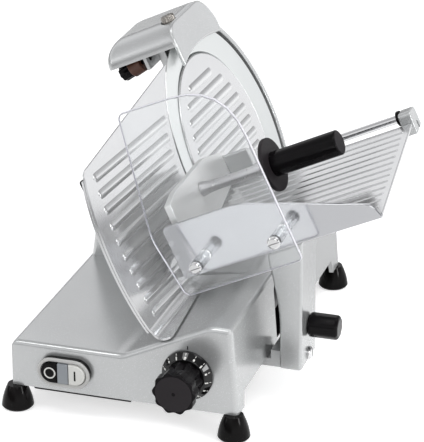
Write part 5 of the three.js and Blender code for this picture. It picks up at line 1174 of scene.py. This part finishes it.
def make_stones():
    knob = [(-20.3, 6.8, 0.8), (-19.6, 8, 1.1), (-18, 8.5, 1.2)]
    knob += [(-9, 8.5, 1.2), (-7.6, 8, 1.1), (-7.3, 7.4, 1)]
    for name in STONE_NAMES:
        placing = stone_place(name)
        build(name + "_stone", [tube("x", STONE_SPAN, STONE_RADII, (0, 0), edge=0.8)], placing)
        spindle = rod("x", *SPINDLE_SPAN, SPINDLE_RADIUS, (0, 0))
        build(name + "_knob", [fluted(knob, SMALL_LOBES, "x", (0, 0)), spindle], placing)


# Screws


def thread(start, end):
    """A screw's shank drawn as close ridges."""
    sign = 1 if end > start else -1
    root = SHANK_RADIUS - THREAD_DEPTH
    profile = [(0, start - sign * FINE_EDGE)]
    for k in range(int(abs(end - start) / THREAD_PITCH)):
        place = start + sign * (k + 0.5) * THREAD_PITCH
        profile += [(root, place - sign * THREAD_PITCH / 2), (SHANK_RADIUS, place)]
    return profile + [(root, end), (0, end)]


def build_screw(node, axis, face, tip, centre, placing, upright=False):
    """A screw with a domed, slotted head, from its face to its tip."""
    sign = 1 if tip > face else -1
    back = face + sign * HEAD_DEPTH
    dome = [(0, face), (HEAD_RADIUS * 0.72, face + sign * 0.15, 0.8)]
    side = [(HEAD_RADIUS, face + sign * 1.5, 0.5), (HEAD_RADIUS, back), (0, back)]
    head = turned(dome + side, axis, centre, segments=40)
    shank = turned(thread(back, tip), axis, centre, segments=24)
    screw = mesh_object(node + "_shape", [head, shank], placing)
    size = (2 * HEAD_RADIUS + 2, HEAD_SLOT)
    slot = centred(centre, *(reversed(size) if upright else size))
    low, high = sorted((face - sign, face + sign * HEAD_SLOT_DEPTH))
    fit(cut(screw, [cutter(slot, axis, low, high)], placing), node)


# Carriage


def tray_top(y):
    return TRAY_RISE + (y - TRAY[2]) * TRAY_PITCH


def make_arm():
    left, right, front, rear = ARM
    flare = left - ARM_FLARE

    def top_at(x):
        return DECK_Z + (x - TOE_X) * tan(TILT) + ARM_RISE / cos(TILT)

    def lean_at(x):
        return (x - TOE_X + ARM_RISE * sin(TILT)) / cos(TILT)

    profile = [(left, ARM_BOTTOM, 3), (right, ARM_BOTTOM, 4), (right, top_at(right)), (flare, top_at(flare)),
               (flare, 143, 12), (left, 93, 20)]
    arm = mesh_object("carriage_arm_shape", [prism(profile, "y", front, rear, edge=3.0, steps=5)], UPRIGHT)
    pad = [(front + 1, 22), (rear - 1, 22)]
    pad += [(rear - 1, tray_top(rear) - PAD_GAP), (front + 1, tray_top(front) - PAD_GAP)]
    block = prism(pad, "x", lean_at(flare + 2), lean_at(right - 2), edge=0.6)
    fit(joined(arm, mesh_object("arm_pad", [block])), "carriage_arm")
    build_screw("arm_screw", "x", right + ARM_SCREW_PROUD, left + 1, (ARM_MID, ARM_SCREW_Z), UPRIGHT, True)


def make_grip():
    right = ARM[1]
    centre = (ARM_MID, GRIP_Z)
    angles = [2 * pi / GRIP_SIDES * (i + 0.5) for i in range(GRIP_SIDES)]
    outline = [(*around(centre, GRIP_RADIUS, angle), 3) for angle in angles]
    grip = prism(outline, "x", right + GRIP_SPAN[0], right + GRIP_SPAN[1], edge=3.6, steps=6)
    low, high, radius = GRIP_STUD
    build("carriage_knob", [grip, rod("x", right + low, right + high, radius, centre)], UPRIGHT)


def make_tray():
    left, right, front, rear = TRAY
    edge = front + TRAY_GAP
    sheet = [(edge, tray_top(edge) - TRAY_THICKNESS), (rear, tray_top(rear) - TRAY_THICKNESS)]
    sheet += [(rear, tray_top(rear)), (edge, tray_top(edge))]
    parts = [prism(sheet, "x", left, right, edge=0.8)]
    pitch = (rear - front - TRAY_RIB_MARGIN) / TRAY_RIB_COUNT
    low, high = left + TRAY_RIB_ENDS[0], right - TRAY_RIB_ENDS[1]
    for i in range(TRAY_RIB_COUNT):
        y = front + TRAY_RIB_FIRST + i * pitch
        centre = (y, tray_top(y) - TRAY_RIB_SUNK)
        parts.append(rod("x", low, high, TRAY_RIB_RADIUS, centre, edge=1, segments=20))
    build("tray_plate", parts)
    fence = [(55, 29), (263, 27, 2), (258, 42, 8), (137, 83, 12), (55, 83, 6)]
    build("tray_fence", [prism(fence, "y", *FENCE_YS, edge=0.9)], finish="mirror_alloy")


def make_guard():
    outline = [(63, 20.5, 8), (187.5, 20.5, 6), (187.5, 202, 55), (78, 206, 8), (55, 83.5, 10)]
    guard = mesh_object("hand_guard_shape", [prism(outline, "y", *GUARD_YS, edge=1.9, steps=5)])
    paint(guard, "clear_plastic", "clear_edge_highlight", "clear_rim_shade")
    # Faces turned sideways take the painted highlight, those nearly flat the painted rim shade, the rest stay
    # clear
    edge, rim = GUARD_TURNS
    for face in guard.data.polygons:
        sideways = abs(face.normal.y)
        face.material_index = 1 if sideways < edge else 2 if sideways < rim else 0
    fit(guard, "hand_guard").visible_shadow = False
    for side, n in GUARD_SCREWS.items():
        place = (n, GUARD_SCREW_U)
        build("guard_spacer_" + side, [tube("y", SPACER_YS, SPACER_RADII, place)])
        build_screw("guard_screw_" + side, "y", *GUARD_SCREW_YS, place, LEANING)


def make_rod():
    left, right, rear = TRAY[0], TRAY[1] + BRACKET_PROUD, TRAY[3]
    y0, y1 = rear + TRAY_GAP, ROD_AXIS[0] + ROD_RADIUS + BRACKET_WALL
    under = tray_top(rear) - TRAY_THICKNESS
    section = [(y0, under - 9, 1), (y1, under - 6, 3), (y1, BRACKET_TOP, 5), (y0, BRACKET_TOP, 5)]
    build("rod_bracket_left", [prism(section, "x", left, left + BRACKET_WIDTH, edge=1.2)])
    body = prism(section, "x", right - BRACKET_WIDTH, right, edge=1.2)
    bracket = mesh_object("rod_bracket_right_shape", [body])
    key = moved([(a, b) for b, a in oval(*KEYHOLE, steps=8)], (ROD_AXIS[0], KEYHOLE_U))
    cut(bracket, [cutter(key, "x", right + KEYHOLE_SPAN[0], right + KEYHOLE_SPAN[1])])
    fit(bracket, "rod_bracket_right")
    build("guide_rod", [rod("x", *ROD_SPAN, ROD_RADIUS, ROD_AXIS)])
    build("rod_stop", [tube("x", ROD_STOP_SPAN, ROD_STOP_RADII, ROD_AXIS, edge=0.8)])


def make_pusher():
    build("pusher_bush", [tube("x", BUSH_SPAN, BUSH_RADII, ROD_AXIS)])
    block = [(238.3, 63, 2), (251, 53.3, 6), (261.7, 54.3, 6), (261.7, 79.7, 8), (238.3, 91.7, 4)]
    build("pusher_block", [prism(block, "x", *HINGE_SPAN, edge=1.8)])
    front, rear = PUSHER_YS
    plate = [(front, tray_top(front) + PUSHER_GAP, 4), (rear, tray_top(rear) + PUSHER_GAP, 1)]
    plate += [(rear, 95, 3), (197, 105, 4), (110, 104, 4), (front, 99, 2)]
    build("pusher_plate", [prism(plate, "x", *PUSHER_SPAN, edge=0.8)], finish="satin_alloy")


def make_pusher_handle():
    shaft = [(0, 68.3), (7.5, 68.3, 0.4), (5.5, 80, 8), (5.5, 130, 10), (9, 143.7, 0.5), (0, 143.7)]
    build("pusher_shaft", [turned(shaft, "x", PUSHER_AXIS)], finish="machined_steel")
    handle = [(0, 146), (12.3, 146, 0.2), (12.3, 218, 1.6), (0, 218)]
    build("pusher_handle", [turned(handle, "x", PUSHER_AXIS)])
    end = [(0, 217.4), (10.9, 217.4, 0.2), (10.9, 218.3, 0.5), (0, 218.3)]
    collar = [(0, 144), (26.5, 144, 0.8), (26.5, 148, 0.8), (0, 148)]
    for name, profile in (("pusher_grip_end", end), ("pusher_collar", collar)):
        parts = [turned(profile, "x", PUSHER_AXIS)]
        extra(name, "pusher_handle", parts, LEANING, finish="charcoal_and_painted_shade")


make_base()
make_feet()
make_gland()
make_switch()
make_dial()
make_gauge()
make_blade()
make_cover()
make_ring()
make_hood()
make_clamp()
make_stones()
make_arm()
make_grip()
make_tray()
make_guard()
make_rod()
make_pusher()
make_pusher_handle()

# Pieces inside the machine keep their CAD shapes and take their slots' finishes; the slide bar is painted
# near-black as painted shade
INNER_FINISHES = {"slide_bar": "painted_shade_steel"}
for name, node in nodes.items():
    node.data.materials.clear()
    paint(node, INNER_FINISHES.get(name, slot_of[name]))


# Floor, world and lamps, in metres

# The floor's own glow, and its glow in reflections, which is painted light: a level by depth, less a round
# patch of painted shade behind the machine
FLOOR_SIZE = 12
FLOOR_GLOW = 0.62
FLOOR_DEPTHS = (-0.4, 0.0)
FLOOR_LEVELS = (0.25, 0.75)
SHADE_PATCH_MIDDLE = (0.15, 0.36, 0)
SHADE_PATCH_REACH = (0.16, 0.4)
SHADE_PATCH_LEVELS = (-0.6, 0.0)
FLOOR_SETTINGS = {
    "Base Color": (0.8, 0.8, 0.8, 1), "Roughness": 0.9, SHINE: 0, "Emission Color": (1, 1, 1, 1),
}

# Brightness that glossy surfaces see, by height above the horizon, to the left and to the right
STUDIO_LEFT = [(0.0, 0.1), (0.15, 0.25), (0.32, 0.95), (0.45, 1.0), (0.65, 0.5), (1.0, 0.4)]
STUDIO_RIGHT = [(0.0, 1.0), (0.12, 0.95), (0.26, 0.6), (0.38, 0.28), (0.65, 0.25), (1.0, 0.5)]
STUDIO_MEETING = (-0.15, 0.2)
STUDIO_STRENGTH = 1.25
STUDIO_BLUE = 1.015
AMBIENT = (0.5, 0.5, 0.51, 1)
WHITE = (1, 1, 1, 1)

# Softboxes: place, width, height and power in watts
LAMPS = {
    "key": ((2.2, -0.9, 0.85), 0.5, 0.8, 16),
    "fill": ((-1.9, -1.2, 0.7), 0.3, 0.8, 2),
    "front": ((-0.65, -0.9, 2.0), 0.6, 0.6, 6),
    "face": ((0.5, -1.9, 1.2), 0.8, 0.8, 6),
    "top": ((1.0, 0.0, 2.1), 1.2, 1.2, 16),
}
LAMP_TARGET = (0, 0, 0.15)


def reflected_glow(finish):
    place = finish.node("NewGeometry").outputs["Position"]
    # The round patch is painted shade on the floor, seen only in reflections
    patch = finish.ranged(finish.distance(place, SHADE_PATCH_MIDDLE), SHADE_PATCH_REACH, SHADE_PATCH_LEVELS, "SMOOTHSTEP")
    depth = finish.ranged(finish.split(place)["Y"], FLOOR_DEPTHS, FLOOR_LEVELS)
    return finish.math("ADD", patch, depth)


def make_floor():
    bm = bmesh.new()
    corners = centred((0, 0), 2 * FLOOR_SIZE, 2 * FLOOR_SIZE)
    bm.faces.new([bm.verts.new((x, y, 0)) for x, y, _ in corners])
    floor = new_object("floor", bm)
    finish = Finish("floor")
    finish.set(FLOOR_SETTINGS)
    rays = finish.node("LightPath").outputs
    glow = finish.math("MULTIPLY", rays["Is Camera Ray"], FLOOR_GLOW)
    for ray, level in (("Is Transmission Ray", FLOOR_GLOW), ("Is Glossy Ray", reflected_glow(finish))):
        glow = finish.math("MAXIMUM", glow, finish.math("MULTIPLY", rays[ray], level))
    finish.link(glow, finish.shader.inputs["Emission Strength"])
    floor.data.materials.append(finish.material)


def colour_socket(sockets, name):
    return next(s for s in sockets if s.type == "RGBA" and s.name == name)


def make_world():
    """White to the camera, a two-sided studio in reflections, and an even grey for the rest."""
    world = bpy.data.worlds.new("studio")
    world.use_nodes = True
    scene.world = world
    world.node_tree.nodes.clear()
    studio = Shading(world.node_tree)
    direction = studio.split(studio.node("TexCoord").outputs["Generated"])
    sides = studio.node("Mix")
    sides.data_type = "RGBA"
    for name, stops in (("A", STUDIO_LEFT), ("B", STUDIO_RIGHT)):
        ramp = studio.node("ValToRGB")
        while len(ramp.color_ramp.elements) < len(stops):
            ramp.color_ramp.elements.new(0.5)
        for element, (height, grey) in zip(ramp.color_ramp.elements, stops):
            element.position = height
            element.color = (grey, grey, grey * STUDIO_BLUE, 1)
        studio.link(direction["Z"], ramp.inputs["Fac"])
        studio.link(ramp.outputs["Color"], colour_socket(sides.inputs, name))
    studio.link(studio.ranged(direction["X"], STUDIO_MEETING, (0, 1)), sides.inputs["Factor"])
    mirrored = studio.node("Background", Strength=STUDIO_STRENGTH)
    studio.link(colour_socket(sides.outputs, "Result"), mirrored.inputs["Color"])
    rays = studio.node("LightPath").outputs
    direct = studio.math("MAXIMUM", rays["Is Camera Ray"], rays["Is Transmission Ray"])
    shown = studio.node("Background", Color=AMBIENT).outputs["Background"]
    white = studio.node("Background", Color=WHITE)
    for factor, other in ((rays["Is Glossy Ray"], mirrored), (direct, white)):
        mixed = studio.node("MixShader")
        for source, target in zip((factor, shown, other.outputs["Background"]), mixed.inputs):
            studio.link(source, target)
        shown = mixed.outputs["Shader"]
    studio.link(shown, studio.node("OutputWorld").inputs["Surface"])


def make_lamp(name, place, width, height, power):
    """A softbox that faces the middle of the machine."""
    data = bpy.data.lights.new(name, "AREA")
    data.shape = "RECTANGLE"
    data.size = width
    data.size_y = height
    data.energy = power
    lamp = bpy.data.objects.new(name, data)
    lamp.location = place
    lamp.rotation_euler = (Vector(LAMP_TARGET) - Vector(place)).to_track_quat("-Z", "Y").to_euler()
    scene.collection.objects.link(lamp)


make_floor()
make_world()
for name, lamp in LAMPS.items():
    make_lamp(name, *lamp)
scene.view_settings.view_transform = "Standard"
